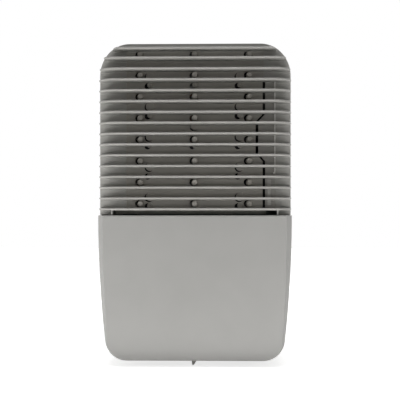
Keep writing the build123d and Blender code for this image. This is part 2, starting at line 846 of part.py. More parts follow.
with BuildPart() as fan_scroll:
    with BuildSketch(at_depth(scroll_y)):
        scroll_outline(scroll_wall)
    extrude(amount=-scroll_depth)
    with BuildSketch(at_depth(scroll_y)):
        scroll_outline(0, 1.0)
    extrude(amount=-(scroll_depth - scroll_wall), mode=Mode.SUBTRACT)
    with BuildSketch(at_depth(scroll_back_y)):
        with Locations((fan_x, fan_z)):
            Circle(shaft_r + 2.0)
    extrude(amount=2 * scroll_wall, mode=Mode.SUBTRACT)

with BuildPart() as scroll_front:
    with BuildSketch(at_depth(scroll_y)):
        scroll_outline(scroll_wall)
    extrude(amount=scroll_wall)
    with BuildSketch(at_depth(scroll_y - scroll_wall)):
        with Locations((fan_x, fan_z)):
            Circle(inlet_r)
    extrude(amount=-scroll_wall, mode=Mode.SUBTRACT)

# ---------------------------------------------------------------- fan wheel, shaft and motor
wheel_y = scroll_back_y - 2 * scroll_wall - wheel_w
wheel_back_y = wheel_y + wheel_w
blade_kink_r = (wheel_r + blade_chord_in) / 2
hub_length = wheel_w / 2

with BuildSketch() as blade:
    with BuildLine():
        Polyline(
            (blade_chord_in, 0),
            (blade_kink_r, blade_lean / 4),
            (wheel_r - ring_edge, blade_lean),
            (wheel_r - ring_edge - blade_t, blade_lean + blade_t),
            (blade_kink_r, blade_lean / 4 + blade_t),
            (blade_chord_in, blade_t),
            close=True,
        )
    make_face()

with BuildPart() as fan_wheel:
    with BuildSketch(at_depth(wheel_back_y)):
        with Locations((fan_x, fan_z)):
            RegularPolygon(wheel_r, wheel_blades)
    extrude(amount=ring_t)
    with BuildSketch(at_depth(wheel_back_y)):
        with Locations((fan_x, fan_z)):
            with PolarLocations(0, wheel_blades):
                add(blade.sketch)
    extrude(amount=wheel_w)
    with BuildSketch(at_depth(wheel_y)):
        with Locations((fan_x, fan_z)):
            RegularPolygon(wheel_r, wheel_blades)
            RegularPolygon(blade_chord_in, wheel_blades, mode=Mode.SUBTRACT)
    extrude(amount=-ring_t)
    with BuildSketch(at_depth(wheel_back_y)):
        with Locations((fan_x, fan_z)):
            RegularPolygon(hub_r, wheel_blades // 2)
    extrude(amount=hub_length)
    with BuildSketch(at_depth(wheel_back_y)):
        with Locations((fan_x, fan_z)):
            Circle(shaft_r + running)
    extrude(amount=hub_length, mode=Mode.SUBTRACT)

motor_front_y = scroll_back_y + bracket_t
with BuildPart() as motor_shaft:
    with BuildSketch(at_depth(wheel_back_y - hub_length)):
        with Locations((fan_x, fan_z)):
            Circle(shaft_r)
    extrude(amount=-(motor_front_y + motor_length / 2 - wheel_back_y + hub_length))

with BuildPart() as motor_bracket:
    with BuildSketch(at_depth(scroll_back_y)):
        with Locations((fan_x, fan_z)):
            Rectangle(2 * motor_r + 2 * bracket_w, bracket_w, rotation=45)
            Rectangle(2 * motor_r + 2 * bracket_w, bracket_w, rotation=-45)
            RegularPolygon(shaft_r + 4.0, 8, mode=Mode.SUBTRACT)
    extrude(amount=-bracket_t)

with BuildPart() as fan_motor:
    with BuildSketch(at_depth(motor_front_y)):
        with Locations((fan_x, fan_z)):
            RegularPolygon(motor_r, round_sides)
    extrude(amount=-motor_length)
    with BuildSketch(at_depth(motor_front_y)):
        with Locations((fan_x, fan_z)):
            Circle(shaft_r + running)
    extrude(amount=-(motor_length / 2 + 1), mode=Mode.SUBTRACT)

# ---------------------------------------------------------------- compressor and its plumbing
mount_angles = (270, 30, 150)
mount_circle = compressor_r - mount_in
mount_places = [
    (
        compressor_x + mount_circle * math.cos(math.radians(a)),
        compressor_y + mount_circle * math.sin(math.radians(a)),
    )
    for a in mount_angles
]
compressor_top_z = compressor_z + foot_plate_t + compressor_h

with BuildPart() as compressor:
    with BuildSketch(Plane.XY.offset(compressor_z)):
        with Locations(*mount_places):
            RegularPolygon(mount_r, 8)
        make_hull()
    extrude(amount=foot_plate_t)
    with BuildSketch(Plane.XY.offset(compressor_z + foot_plate_t)):
        with Locations((compressor_x, compressor_y)):
            RegularPolygon(compressor_r, round_sides)
    extrude(amount=compressor_h)
    chamfer(edges().group_by(Axis.Z)[-1], compressor_round)

with BuildPart() as compressor_mounts:
    with BuildSketch(Plane.XY.offset(bottom_z + wall)):
        with Locations(*mount_places):
            RegularPolygon(mount_r, 8)
    extrude(amount=mount_h)

with BuildPart() as terminal_cover:
    with BuildSketch(Plane.XY.offset(compressor_top_z)):
        with Locations((compressor_x + terminal_right, compressor_y - terminal_front)):
            Rectangle(terminal_w, terminal_d)
    extrude(amount=terminal_h)

accumulator_z = compressor_z + accumulator_rise
with BuildPart() as accumulator:
    with BuildSketch(Plane.XY.offset(accumulator_z)):
        with Locations((accumulator_x, compressor_y)):
            Circle(accumulator_r)
    extrude(amount=accumulator_h)

strap_z = accumulator_z + accumulator_h / 2
with BuildPart() as accumulator_strap:
    with BuildSketch(Plane.XY.offset(strap_z)):
        rectangle(
            accumulator_x, compressor_x, compressor_y - strap_w / 2, compressor_y + strap_w / 2
        )
        with Locations((accumulator_x, compressor_y)):
            Circle(accumulator_r + seat, mode=Mode.SUBTRACT)
        with Locations((compressor_x, compressor_y)):
            Circle(compressor_r + seat, mode=Mode.SUBTRACT)
    extrude(amount=strap_w)


first_pass_z = coil_low_z + coil_end
last_pass_z = first_pass_z + (coil_passes - 1) * coil_pass_pitch
evaporator_mid_y = evaporator_y + coil_t / 2
condenser_mid_y = condenser_y + coil_t / 2
hot_run_z = deck_z - hot_run_drop

with BuildPart() as discharge_pipe:
    pipe(
        [
            (compressor_x, hot_y, compressor_top_z),
            (compressor_x, hot_y, hot_run_z),
            (side_run_x, hot_y, hot_run_z),
            (side_run_x, hot_y, last_pass_z),
            (side_run_x, condenser_mid_y, last_pass_z),
            (-stub_x, condenser_mid_y, last_pass_z),
        ],
        pipe_r,
    )

accumulator_top_z = accumulator_z + accumulator_h
with BuildPart() as suction_pipe:
    pipe(
        [
            (-stub_x, evaporator_mid_y, first_pass_z),
            (suction_x, evaporator_mid_y, first_pass_z),
            (suction_x, coil_back_y, first_pass_z),
            (accumulator_x, compressor_y, first_pass_z),
            (accumulator_x, compressor_y, accumulator_top_z),
        ],
        suction_r,
    )
    pipe(
        [
            (accumulator_x, compressor_y, accumulator_z),
            (accumulator_x, compressor_y, accumulator_z - 16),
            (compressor_x - compressor_r, compressor_y, accumulator_z - 16),
        ],
        suction_r,
    )

drier_x = bend_x + drier_r + drier_gap
drier_z = first_pass_z + drier_rise
with BuildPart() as filter_drier:
    with BuildSketch(Plane.XY.offset(drier_z)):
        with Locations((drier_x, condenser_mid_y)):
            Circle(drier_r)
    extrude(amount=drier_h)

with BuildPart() as capillary_tube:
    pipe(
        [
            (stub_x, condenser_mid_y, first_pass_z),
            (drier_x, condenser_mid_y, first_pass_z),
            (drier_x, condenser_mid_y, drier_z),
        ],
        capillary_r,
    )
    pipe(
        [
            (drier_x, condenser_mid_y, drier_z + drier_h),
            (drier_x, condenser_mid_y, last_pass_z),
            (drier_x, evaporator_mid_y, last_pass_z),
            (stub_x, evaporator_mid_y, last_pass_z),
        ],
        capillary_r,
    )

with BuildPart() as capacitor:
    with BuildSketch(Plane.XY.offset(bottom_z + wall)):
        with Locations((port_x - 30, compressor_y)):
            Rectangle(capacitor_w, capacitor_d)
    extrude(amount=capacitor_h)


# ---------------------------------------------------------------- tank
def tank_outline(half_top, half_low, low, r):
    """Front view of the tank's face: straight top, sides drawn in, round lower corners."""
    with BuildLine() as edge:
        Line((0, tank_top_z), (half_top, tank_top_z))
        TangentArc((half_top, tank_top_z), (half_low, low), tangent=(0, -1))
        Line((half_low, low), (0, low))
        mirror(about=Plane.YZ)
    make_face(edge.edges())
    fillet(vertices().group_by(Axis.Y)[0].sort_by(Axis.X)[0], r)
    fillet(vertices().group_by(Axis.Y)[0].sort_by(Axis.X)[-1], r)


half_low = half_w - lower_taper
with BuildPart() as tank_front:
    with BuildSketch(at_depth(front_y)):
        tank_outline(
            half_w - face_inset_top,
            half_low - face_inset_low,
            bottom_z + face_inset_low,
            bottom_r - face_inset_low,
        )
    with BuildSketch(at_depth(skin_back_y)):
        tank_outline(half_w, half_low, bottom_z, bottom_r)
    loft()
    with BuildSketch(at_depth(skin_back_y)):
        tank_outline(half_w, half_low, bottom_z, bottom_r)
    extrude(amount=-(split_y - skin_back_y))
    # Hollow behind the skin, open at the top for fingers and at the back for the bucket.
    with BuildSketch(at_depth(front_y + front_skin)):
        body_outline(inset=wall + face_inset_top)
        rectangle(
            -half_w + wall + face_inset_top,
            half_w - wall - face_inset_top,
            tank_top_z - 1,
            tank_top_z + 1,
        )
    extrude(amount=-(face_rake - front_skin), mode=Mode.SUBTRACT)
    with BuildSketch(at_depth(skin_back_y)):
        body_outline(inset=wall)
    extrude(amount=-(split_y - skin_back_y), mode=Mode.SUBTRACT)
    # Clear of the base's tongue.
    with BuildSketch(at_depth(skin_back_y)):
        rectangle(-tongue_half - 1, tongue_half + 1, bottom_z - 1, bottom_z + tank_inset)
    extrude(amount=-(split_y - skin_back_y), mode=Mode.SUBTRACT)
    # Ribs that carry the front on the bucket.
    with BuildSketch(Plane.XY.offset(bottom_z + tank_inset + bottom_r)):
        for x in (-0.75 * half_w, -0.3 * half_w, 0.3 * half_w, 0.75 * half_w):
            rectangle(x - 1.2, x + 1.2, front_y + front_skin - 0.5, bucket_front_y)
    extrude(amount=tank_top_z - grip_height - bottom_z - tank_inset - bottom_r - 10)
    top_edge = edges().filter_by(Axis.X).group_by(Axis.Z)[-1].sort_by(Axis.Y)[0]
    chamfer(top_edge, 2.4)

trough_back_y = bucket_front_y + grip_depth - (face_rake - front_skin)
trough_z = tank_top_z - grip_height


def bucket_block(inset, y_low, y_high, high, notch):
    """Bucket's outer or inner form: the body's outline with a finger trough at the top."""
    with BuildSketch(at_depth(y_low)) as front_view:
        body_outline(inset=inset)
        rectangle(-half_w, half_w, high, top_z + 1, Mode.SUBTRACT)
    extrude(front_view.sketch, amount=-(y_high - y_low))
    with BuildSketch(Plane.XY.offset(trough_z - notch)) as trough:
        rectangle(
            -grip_half - notch, grip_half + notch, front_y - 1, trough_back_y + notch
        )
    extrude(trough.sketch, amount=body_height, mode=Mode.SUBTRACT)


with BuildPart() as bucket_hollow:
    bucket_block(
        tank_inset + tank_wall,
        bucket_front_y + tank_wall,
        bucket_back_y - tank_wall,
        bucket_top_z + 1,
        tank_wall,
    )

with BuildPart() as water_tank:
    bucket_block(tank_inset, bucket_front_y, bucket_back_y, bucket_top_z, 0)
    add(bucket_hollow.part, mode=Mode.SUBTRACT)

float_y = (bucket_front_y + bucket_back_y) / 2 + float_back
pivot_y = float_y - float_arm
pivot_z = bucket_top_z - pivot_drop
lid_half = half_w - tank_inset - lid_play
with BuildPart() as tank_lid:
    with BuildSketch(Plane.XY.offset(bucket_top_z)):
        rectangle(-lid_half, lid_half, bucket_front_y, bucket_back_y)
        rectangle(-grip_half, grip_half, front_y, trough_back_y, Mode.SUBTRACT)
        with Locations((inlet_x, spout_y)):
            RegularPolygon(inlet_hole_r, round_sides, mode=Mode.SUBTRACT)
    extrude(amount=lid_t)
    # Rim that drops inside the bucket's back wall, and ears for the float.
    with BuildSketch(Plane.XY.offset(bucket_top_z)):
        rectangle(
            -lid_half + lid_rim_in,
            lid_half - lid_rim_in,
            bucket_back_y - 2 * tank_wall - seat,
            bucket_back_y - tank_wall - seat,
        )
        for side in (-1, 1):
            x = float_x + side * ear_gap / 2
            rectangle(min(x, x + 2 * side), max(x, x + 2 * side), pivot_y - 5, pivot_y + 5)
    extrude(amount=-(bucket_top_z - pivot_z + 5))
    with BuildSketch(Plane.YZ.offset(float_x)):
        with Locations((pivot_y, pivot_z)):
            Circle(pivot_r + 0.02)
    extrude(amount=ear_gap, both=True, mode=Mode.SUBTRACT)

with BuildPart() as float_pin:
    with BuildSketch(Plane.YZ.offset(float_x)):
        with Locations((pivot_y, pivot_z)):
            Circle(pivot_r)
    extrude(amount=ear_gap / 2 + 3, both=True)

float_z = pivot_z - float_drop
with BuildPart() as tank_float:
    with BuildSketch(Plane.YZ.offset(float_x)):
        with Locations((pivot_y, pivot_z)):
            Circle(3.2)
        with BuildLine():
            Polyline(
                (pivot_y, pivot_z - 2),
                (pivot_y, pivot_z + 2),
                (float_y, float_z + 4),
                (float_y, float_z),
                close=True,
            )
        make_face()
        with Locations((pivot_y, pivot_z)):
            Circle(pivot_r + running, mode=Mode.SUBTRACT)
    extrude(amount=ear_gap / 2 - seat, both=True)
    with BuildSketch(Plane.XY.offset(float_z - float_h / 2)):
        with Locations((float_x, float_y)):
            Rectangle(float_w, float_l)
    extrude(amount=float_h)

with BuildPart() as level_switch:
    with BuildSketch(Plane.XY.offset(deck_z)):
        with Locations((float_x, float_y)):
            Rectangle(26, 14)
    extrude(amount=-8)

# ---------------------------------------------------------------- humidity sensor
with BuildPart() as humidity_sensor:
    with BuildSketch(at_depth(panel_y + panel_t)):
        with Locations((seam_right + 7, tab_middle_z)):
            Rectangle(10, 26)
    extrude(amount=-7)

# ---------------------------------------------------------------- top cover
control_opening_w = panel_w - 2 * panel_rim
control_opening_d = panel_d - 2 * panel_rim
handle_bar_y = handle_pivot_y + handle_arm
groove_d = handle_thick + 3.0
handle_side_x = handle_half + handle_bar / 2
outlet_half_d = outlet_d / 2


def handle_plan(grow):
    """Top view of the folded handle, or of its groove when grown."""
    outer = handle_half + handle_bar / 2 + grow
    inner = handle_half - handle_bar / 2 - grow
    rear_y = handle_bar_y + handle_bar / 2 + grow
    low_y = handle_pivot_y - handle_thick / 2 - grow
    rectangle(-outer, outer, low_y, rear_y)
    rectangle(-inner, inner, low_y - 1, rear_y - handle_bar - 2 * grow, Mode.SUBTRACT)


with BuildPart() as top_cover:
    add(shell_outer.part)
    add(shell_inner.part, mode=Mode.SUBTRACT)
    split(bisect_by=Plane.XY.offset(cover_low_z + seam), keep=Keep.TOP)
    # Trough for the handle, with a wider place for fingers.
    with BuildSketch(Plane.XY.offset(top_z - wall)):
        handle_plan(groove_play + wall)
        rectangle(
            -recess_half - wall,
            recess_half + wall,
            handle_bar_y,
            handle_bar_y + handle_bar / 2 + recess_d + wall,
        )
    extrude(amount=-groove_d)
    with BuildSketch(Plane.XY.offset(top_z)):
        handle_plan(groove_play)
        rectangle(
            -recess_half,
            recess_half,
            handle_bar_y,
            handle_bar_y + handle_bar / 2 + recess_d,
        )
    extrude(amount=-groove_d, mode=Mode.SUBTRACT)
    for side in (-1, 1):
        with BuildSketch(Plane.YZ.offset(side * handle_side_x)):
            with Locations((handle_pivot_y, handle_z)):
                Circle(handle_pin_r + running)
        extrude(amount=side * (groove_play + wall), mode=Mode.SUBTRACT)
    # Ledge, recess and opening for the control panel.
    with BuildSketch(Plane.XY.offset(top_z - wall)):
        with Locations((0, control_y)):
            RectangleRounded(
                panel_w + 2 * panel_ledge, panel_d + 2 * panel_ledge, panel_corner_r
            )
    extrude(amount=-wall)
    with BuildSketch(Plane.XY.offset(top_z)):
        with Locations((0, control_y)):
            RectangleRounded(panel_w + 2 * seat, panel_d + 2 * seat, panel_corner_r)
    extrude(amount=-plate_t, mode=Mode.SUBTRACT)
    with BuildSketch(Plane.XY.offset(top_z)):
        with Locations((0, control_y)):
            RectangleRounded(
                control_opening_w, control_opening_d, panel_corner_r - panel_rim + 1
            )
    extrude(amount=-3 * wall, mode=Mode.SUBTRACT)
    # Opening for the outlet grille.
    with BuildSketch(Plane.XY.offset(top_z)):
        with Locations((0, outlet_y)):
            Rectangle(2 * outlet_half + 2 * seat, outlet_d + 2 * seat)
    extrude(amount=-3 * wall, mode=Mode.SUBTRACT)

with BuildPart() as outlet_grille:
    with BuildSketch(Plane.XY.offset(top_z)):
        with Locations((0, outlet_y)):
            Rectangle(2 * outlet_half, outlet_d)
            Rectangle(
                2 * (outlet_half - outlet_rim), outlet_d - 2 * outlet_rim, mode=Mode.SUBTRACT
            )
            with GridLocations(2 * outlet_half / (vane_count + 1), 1, vane_count, 1):
                Rectangle(vane_t, outlet_d - outlet_rim)
    extrude(amount=-grille_t)

with BuildPart() as carry_handle:
    with BuildSketch(Plane.XY.offset(handle_top_z)):
        handle_plan(0)
    extrude(amount=-handle_thick)
    chamfer(edges().filter_by(Axis.X).group_by(Axis.Y)[0], handle_thick / 3)
    chamfer(edges().filter_by(Axis.Z).group_by(Axis.Y)[-1], handle_bar / 2)
    # Stub pins on the outer faces of both arms.
    for side in (-1, 1):
        with BuildSketch(Plane.YZ.offset(side * handle_side_x)):
            with Locations((handle_pivot_y, handle_z)):
                Circle(handle_pin_r)
        extrude(amount=side * (groove_play + wall - seat))

# ---------------------------------------------------------------- controls
button_xs = [
    (i - (button_count - 1) / 2) * button_pitch - window_w / 2 for i in range(button_count)
]
window_x = button_xs[-1] + button_pitch / 2 + window_w / 2 + window_gap
board_z = top_z - plate_t - board_drop
post_x = panel_w / 2 - post_in_x
post_y = panel_d / 2 - post_in_y
with BuildPart() as control_panel:
    with BuildSketch(Plane.XY.offset(top_z)):
        with Locations((0, control_y)):
            RectangleRounded(panel_w, panel_d, panel_corner_r - seat)
        with Locations(*[(x, control_y) for x in button_xs]):
            Rectangle(button_w, button_d, mode=Mode.SUBTRACT)
        with Locations((window_x, control_y)):
            Rectangle(window_w, window_d, mode=Mode.SUBTRACT)
    extrude(amount=-plate_t)
    with BuildSketch(Plane.XY.offset(top_z - plate_t)):
        with Locations((0, control_y)):
            with GridLocations(2 * post_x, 2 * post_y, 2, 2):
                Rectangle(post_w, post_w)
    extrude(amount=-(top_z - plate_t - board_z - board_t))

switch_z = top_z - plate_t - switch_drop
with BuildPart() as control_board:
    with BuildSketch(Plane.XY.offset(board_z)):
        with Locations((0, control_y)):
            Rectangle(control_opening_w - 2, control_opening_d - 2)
    extrude(amount=board_t)
    with BuildSketch(Plane.XY.offset(board_z + board_t)):
        with Locations(*[(x, control_y) for x in button_xs]):
            Rectangle(6, 6)
    extrude(amount=switch_z - board_z - board_t)

with BuildPart() as display_window:
    with BuildSketch(Plane.XY.offset(top_z - 0.2)):
        with Locations((window_x, control_y)):
            Rectangle(window_w - 2 * seat, window_d - 2 * seat)
    extrude(amount=-(plate_t - 0.2))

with BuildPart() as display_module:
    with BuildSketch(Plane.XY.offset(board_z + board_t)):
        with Locations((window_x, control_y)):
            Rectangle(window_w - 6, window_d - 4)
    extrude(amount=top_z - plate_t - seat - board_z - board_t)

button_names = ["power", "mode", "fan_speed", "humidity", "timer"]
buttons = []
for name, x in zip(button_names, button_xs):
    with BuildPart() as button:
        with BuildSketch(Plane.XY.offset(top_z + button_proud)):
            with Locations((x, control_y)):
                Rectangle(button_w - 2 * seat, button_d - 2 * seat)
        extrude(amount=-(button_proud + plate_t + 1.5))
        with BuildSketch(Plane.XY.offset(top_z - plate_t - seat)):
            with Locations((x, control_y)):
                Rectangle(button_w + 2 * button_skirt, button_d + 2 * button_skirt)
        extrude(amount=-button_skirt_t)
        with BuildSketch(Plane.XY.offset(top_z - plate_t - 1.5)):
            with Locations((x, control_y)):
                Rectangle(button_stem, button_stem)
        extrude(amount=-(top_z - plate_t - 1.5 - switch_z - button_travel - 0.2))
    button.part.label = "button_" + name
    buttons.append(button.part)

# ---------------------------------------------------------------- write every piece
pieces = {
    "front_grille": front_grille,
    "inner_panel": inner_panel,
    "side_cover": side_cover,
    "filter_frame": filter_frame,
    "filter_mesh": filter_mesh,
    "rear_housing": rear_housing,
    "base_pan": base_pan,
    "feet": feet,
    "chassis": chassis,
    "drip_tray": drip_tray,
    "drain_port": drain_port,
    "drain_cap": drain_cap,
    "cord_gland": cord_gland,
    "evaporator_fins": evaporator_fins,
    "evaporator_tube": evaporator_tube,
    "condenser_fins": condenser_fins,
    "condenser_tube": condenser_tube,
    "coil_plates": coil_plates,
    "fan_scroll": fan_scroll,
    "scroll_front": scroll_front,
    "fan_wheel": fan_wheel,
    "motor_shaft": motor_shaft,
    "motor_bracket": motor_bracket,
    "fan_motor": fan_motor,
    "compressor": compressor,
    "compressor_mounts": compressor_mounts,
    "terminal_cover": terminal_cover,
    "accumulator": accumulator,
    "accumulator_strap": accumulator_strap,
    "discharge_pipe": discharge_pipe,
    "suction_pipe": suction_pipe,
    "filter_drier": filter_drier,
    "capillary_tube": capillary_tube,
    "capacitor": capacitor,
    "tank_front": tank_front,
    "water_tank": water_tank,
    "tank_lid": tank_lid,
    "float_pin": float_pin,
    "tank_float": tank_float,
    "level_switch": level_switch,
    "humidity_sensor": humidity_sensor,
    "top_cover": top_cover,
    "outlet_grille": outlet_grille,
    "carry_handle": carry_handle,
    "control_panel": control_panel,
    "control_board": control_board,
    "display_window": display_window,
    "display_module": display_module,
}
for label, piece in pieces.items():
    piece.part.label = label
    export_step(piece.part, "parts/" + label + ".step")
for button_part in buttons:
    export_step(button_part, "parts/" + button_part.label + ".step")
print(len(pieces) + len(buttons), "pieces, louvre pitch", round(louvre_pitch, 2))
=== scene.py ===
# %% [markdown]
# # A room dehumidifier, dressed in Blender
# The solids of the machine come in as a fixed frame. This lesson lays finished surfaces over the ones
# that people see, and gives every other piece a finish. The first cell loads the frame.

# %% Load the frame
import bmesh
import bpy
import numpy as np
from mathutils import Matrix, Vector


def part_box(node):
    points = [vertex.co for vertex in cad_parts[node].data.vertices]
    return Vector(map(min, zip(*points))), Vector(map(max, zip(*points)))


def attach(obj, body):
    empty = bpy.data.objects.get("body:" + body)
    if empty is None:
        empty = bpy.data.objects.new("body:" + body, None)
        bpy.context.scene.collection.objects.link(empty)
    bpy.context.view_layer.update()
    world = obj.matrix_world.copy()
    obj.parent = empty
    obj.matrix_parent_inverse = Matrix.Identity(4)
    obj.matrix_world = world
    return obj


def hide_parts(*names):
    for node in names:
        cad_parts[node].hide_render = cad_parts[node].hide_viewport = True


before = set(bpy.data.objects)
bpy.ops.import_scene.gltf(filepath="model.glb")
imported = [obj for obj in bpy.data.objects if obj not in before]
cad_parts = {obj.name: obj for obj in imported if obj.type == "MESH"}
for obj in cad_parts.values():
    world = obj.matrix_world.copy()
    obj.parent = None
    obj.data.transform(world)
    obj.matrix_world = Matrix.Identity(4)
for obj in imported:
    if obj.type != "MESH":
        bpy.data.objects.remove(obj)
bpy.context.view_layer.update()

# %% [markdown]
# ## Camera
# The machine is looked at from the front, with the lens level and about half way up its height, from a
# bit under two metres with a longish lens, so the perspective is weak. The camera stands a few centimetres
# to the right and turns back by the same small angle. A small shift then puts the machine in its place in
# the frame, because tilting the camera would make the upright sides lean.

# %% Camera
lens = bpy.data.cameras.new("camera")
lens.lens = 84.5
lens.sensor_width = 36.0
lens.shift_x = 0.0097
lens.shift_y = 0.0225
lens.dof.use_dof = False
camera = bpy.data.objects.new("camera", lens)
eye_height = 0.2866
turn = 0.0245  # in radians, or 1.4 degrees
camera.location = (0.0445, -1.8195, eye_height)
camera.rotation_euler = (np.pi / 2, 0, turn)
bpy.context.collection.objects.link(camera)
bpy.context.scene.camera = camera
bpy.context.scene.view_settings.view_transform = "Standard"
print("camera", tuple(camera.location))

# %% [markdown]
# ## Adding nodes and colours
# Finishes here are small node graphs. One function adds a node with its settings and links, so that a
# finish reads as a list of what it is made of. Colours are written as they look on a screen, in hex, and
# one function turns them into the linear numbers that the renderer adds up.


# %% Node and colour helpers
def linear(code):
    """Screen colour as hex to linear red, green, blue, alpha: the sRGB curve undone."""
    c = np.array([int(code[i : i + 2], 16) for i in (1, 3, 5)]) / 255
    c = np.where(c <= 0.04045, c / 12.92, ((c + 0.055) / 1.055) ** 2.4)
    return (*c.tolist(), 1.0)


def add(tree, kind, sockets=None, **settings):
    """Adds a node. A socket gets a value or a link from another node's output."""
    made = tree.nodes.new("ShaderNode" + kind)
    for key, value in settings.items():
        setattr(made, key, value)
    for key, value in (sockets or {}).items():
        if isinstance(value, bpy.types.NodeSocket):
            tree.links.new(value, made.inputs[key])
        else:
            made.inputs[key].default_value = value
    return made


def new_finish(name):
    """Empty material: its node tree and the object coordinates in metres."""
    material = bpy.data.materials.new(name)
    material.use_nodes = True
    material.node_tree.nodes.clear()
    place = add(material.node_tree, "TexCoord").outputs["Object"]
    return material, material.node_tree, place


print("a screen's middle grey in linear light", linear("#808080"))

# %% [markdown]
# ## Floor, background and light
# The machine stands on a plain pale floor in front of white. The floor takes the machine's shadow, and
# rays from the camera, from a gloss or through glass also see a little light of its own, which grows with
# the distance until the floor meets the white behind it. A ray that lights the machine sees neither, so
# the white costs no contrast. The dome for those rays is dim and grey.

# %% Floor and background
def sees_background(tree):
    """1 for rays from the camera, a gloss or glass, and 0 for rays that light a surface."""
    ray = add(tree, "LightPath").outputs
    seen = ray["Is Camera Ray"]
    for kind in ("Is Glossy Ray", "Is Transmission Ray"):
        seen = add(tree, "Math", {0: seen, 1: ray[kind]}, operation="MAXIMUM").outputs[0]
    return seen


floor_finish, tree, place = new_finish("painted_board_pale")
speck = add(tree, "TexNoise", {"Vector": place, "Scale": 40.0, "Detail": 3.0})
tone = add(tree, "ValToRGB", {"Fac": speck.outputs["Fac"]})
tone.color_ramp.elements[0].color = linear("#dededc")
tone.color_ramp.elements[1].color = linear("#e4e4e2")
board = add(tree, "BsdfPrincipled", {"Base Color": tone.outputs["Color"], "Roughness": 0.9})
far = add(tree, "VectorMath", {0: place}, operation="LENGTH")
near_m, far_m, near_glow = 0.7, 1.6, 0.76
rise = add(
    tree,
    "MapRange",
    {"Value": far.outputs["Value"], "From Min": near_m, "From Max": far_m, "To Min": near_glow},
)
glow = add(tree, "Emission", {"Color": (1, 1, 1, 1), "Strength": rise.outputs["Result"]})
dark = add(tree, "Emission", {"Color": (0, 0, 0, 1), "Strength": 0.0})
lift = add(tree, "MixShader", {0: sees_background(tree), 1: dark.outputs[0], 2: glow.outputs[0]})
both = add(tree, "AddShader", {0: board.outputs[0], 1: lift.outputs[0]})
add(tree, "OutputMaterial", {"Surface": both.outputs[0]})

sheet = bpy.data.meshes.new("floor")
sheet.from_pydata([(-4, -4, 0), (4, -4, 0), (4, 5, 0), (-4, 5, 0)], [], [(0, 1, 2, 3)])
sheet.materials.append(floor_finish)
floor = bpy.data.objects.new("floor", sheet)
bpy.context.collection.objects.link(floor)

world = bpy.data.worlds.new("studio")
world.use_nodes = True
tree = world.node_tree
tree.nodes.clear()
way = add(tree, "SeparateXYZ", {"Vector": add(tree, "TexCoord").outputs["Generated"]})
height = add(tree, "MapRange", {"Value": way.outputs["Z"], "From Min": 0.1, "From Max": 0.9})
shade = add(tree, "ValToRGB", {"Fac": height.outputs["Result"]})
shade.color_ramp.elements[0].color = (0.02, 0.02, 0.02, 1)
shade.color_ramp.elements[1].color = (0.1, 0.1, 0.1, 1)
dome = add(tree, "Background", {"Color": shade.outputs["Color"], "Strength": 1.0})
white = add(tree, "Background", {"Color": (1, 1, 1, 1), "Strength": 1.0})
sky = add(tree, "MixShader", {0: sees_background(tree), 1: dome.outputs[0], 2: white.outputs[0]})
add(tree, "OutputWorld", {"Surface": sky.outputs[0]})
bpy.context.scene.world = world
print("floor", floor_finish.name, "and world", world.name)


# %% [markdown]
# In a white studio most of the light on an upright face comes off the floor. Here flat lamps lie on the
# floor in front and at both sides and shine up, so the undersides of the blades are lit and the wall
# behind them stays dark. One large panel overhead draws the light line on every blade, two small ones
# stand low to the left and right, and one behind lights the rear. An upright face then comes out about as
# its colour is written.


# %% Lamps
def panel_lamp(name, place, target, width, height, power):
    """Flat soft lamp at a place, facing a target. Sizes in metres, power in watts."""
    lamp = bpy.data.lights.new(name, "AREA")
    lamp.shape = "RECTANGLE"
    lamp.size, lamp.size_y, lamp.energy = width, height, power
    made = bpy.data.objects.new(name, lamp)
    made.location = place
    way = np.array(target) - np.array(place)
    made.rotation_euler = (
        np.arccos(-way[2] / np.linalg.norm(way)),
        0,
        np.arctan2(way[1], way[0]) - np.pi / 2,
    )
    made.visible_camera = False
    bpy.context.collection.objects.link(made)


panel_lamp("overhead", (0, -0.5, 2.2), (0, -0.1, 0.3), 1.2, 0.8, 15.21)
panel_lamp("floor_front", (0, -0.6, 0.01), (0, -0.59, 1), 1.8, 0.3, 3.3)
panel_lamp("floor_foot", (0, -0.28, 0.01), (0, -0.27, 1), 1.4, 0.26, 0.5)
panel_lamp("floor_edge", (0, -0.2, 0.005), (0, -0.19, 1), 1.0, 0.1, 0.3)
panel_lamp("floor_left", (-0.9, -0.3, 0.01), (-0.9, -0.29, 1), 1.0, 1.0, 3.23)
panel_lamp("floor_right", (0.9, -0.3, 0.01), (0.9, -0.29, 1), 1.0, 1.0, 1.9)
panel_lamp("low_left", (-0.8, -0.45, 0.04), (-0.1, -0.1, 0.4), 0.7, 0.3, 2.09)
panel_lamp("low_right", (0.5, -1.3, 0.05), (0, 0, 0.4), 0.25, 0.1, 1.23)
panel_lamp("behind", (0, 1.9, 1.1), (0, 0, 0.3), 1.6, 1.0, 17.11)
print("nine lamps and a dome")

# %% [markdown]
# ## Sizes taken from the solids
# Every surface below starts from the boxes of the solids, so it lands on them without fitting. The few
# numbers that a box can't tell, such as a corner radius, are written once here. They are in millimetres,
# the unit a mould maker uses, and become metres when a mesh is made.


# %% Sizes
def box_mm(node):
    """Lowest and highest corner of a solid, in millimetres."""
    low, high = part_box(node)
    return np.array(low) * 1000, np.array(high) * 1000


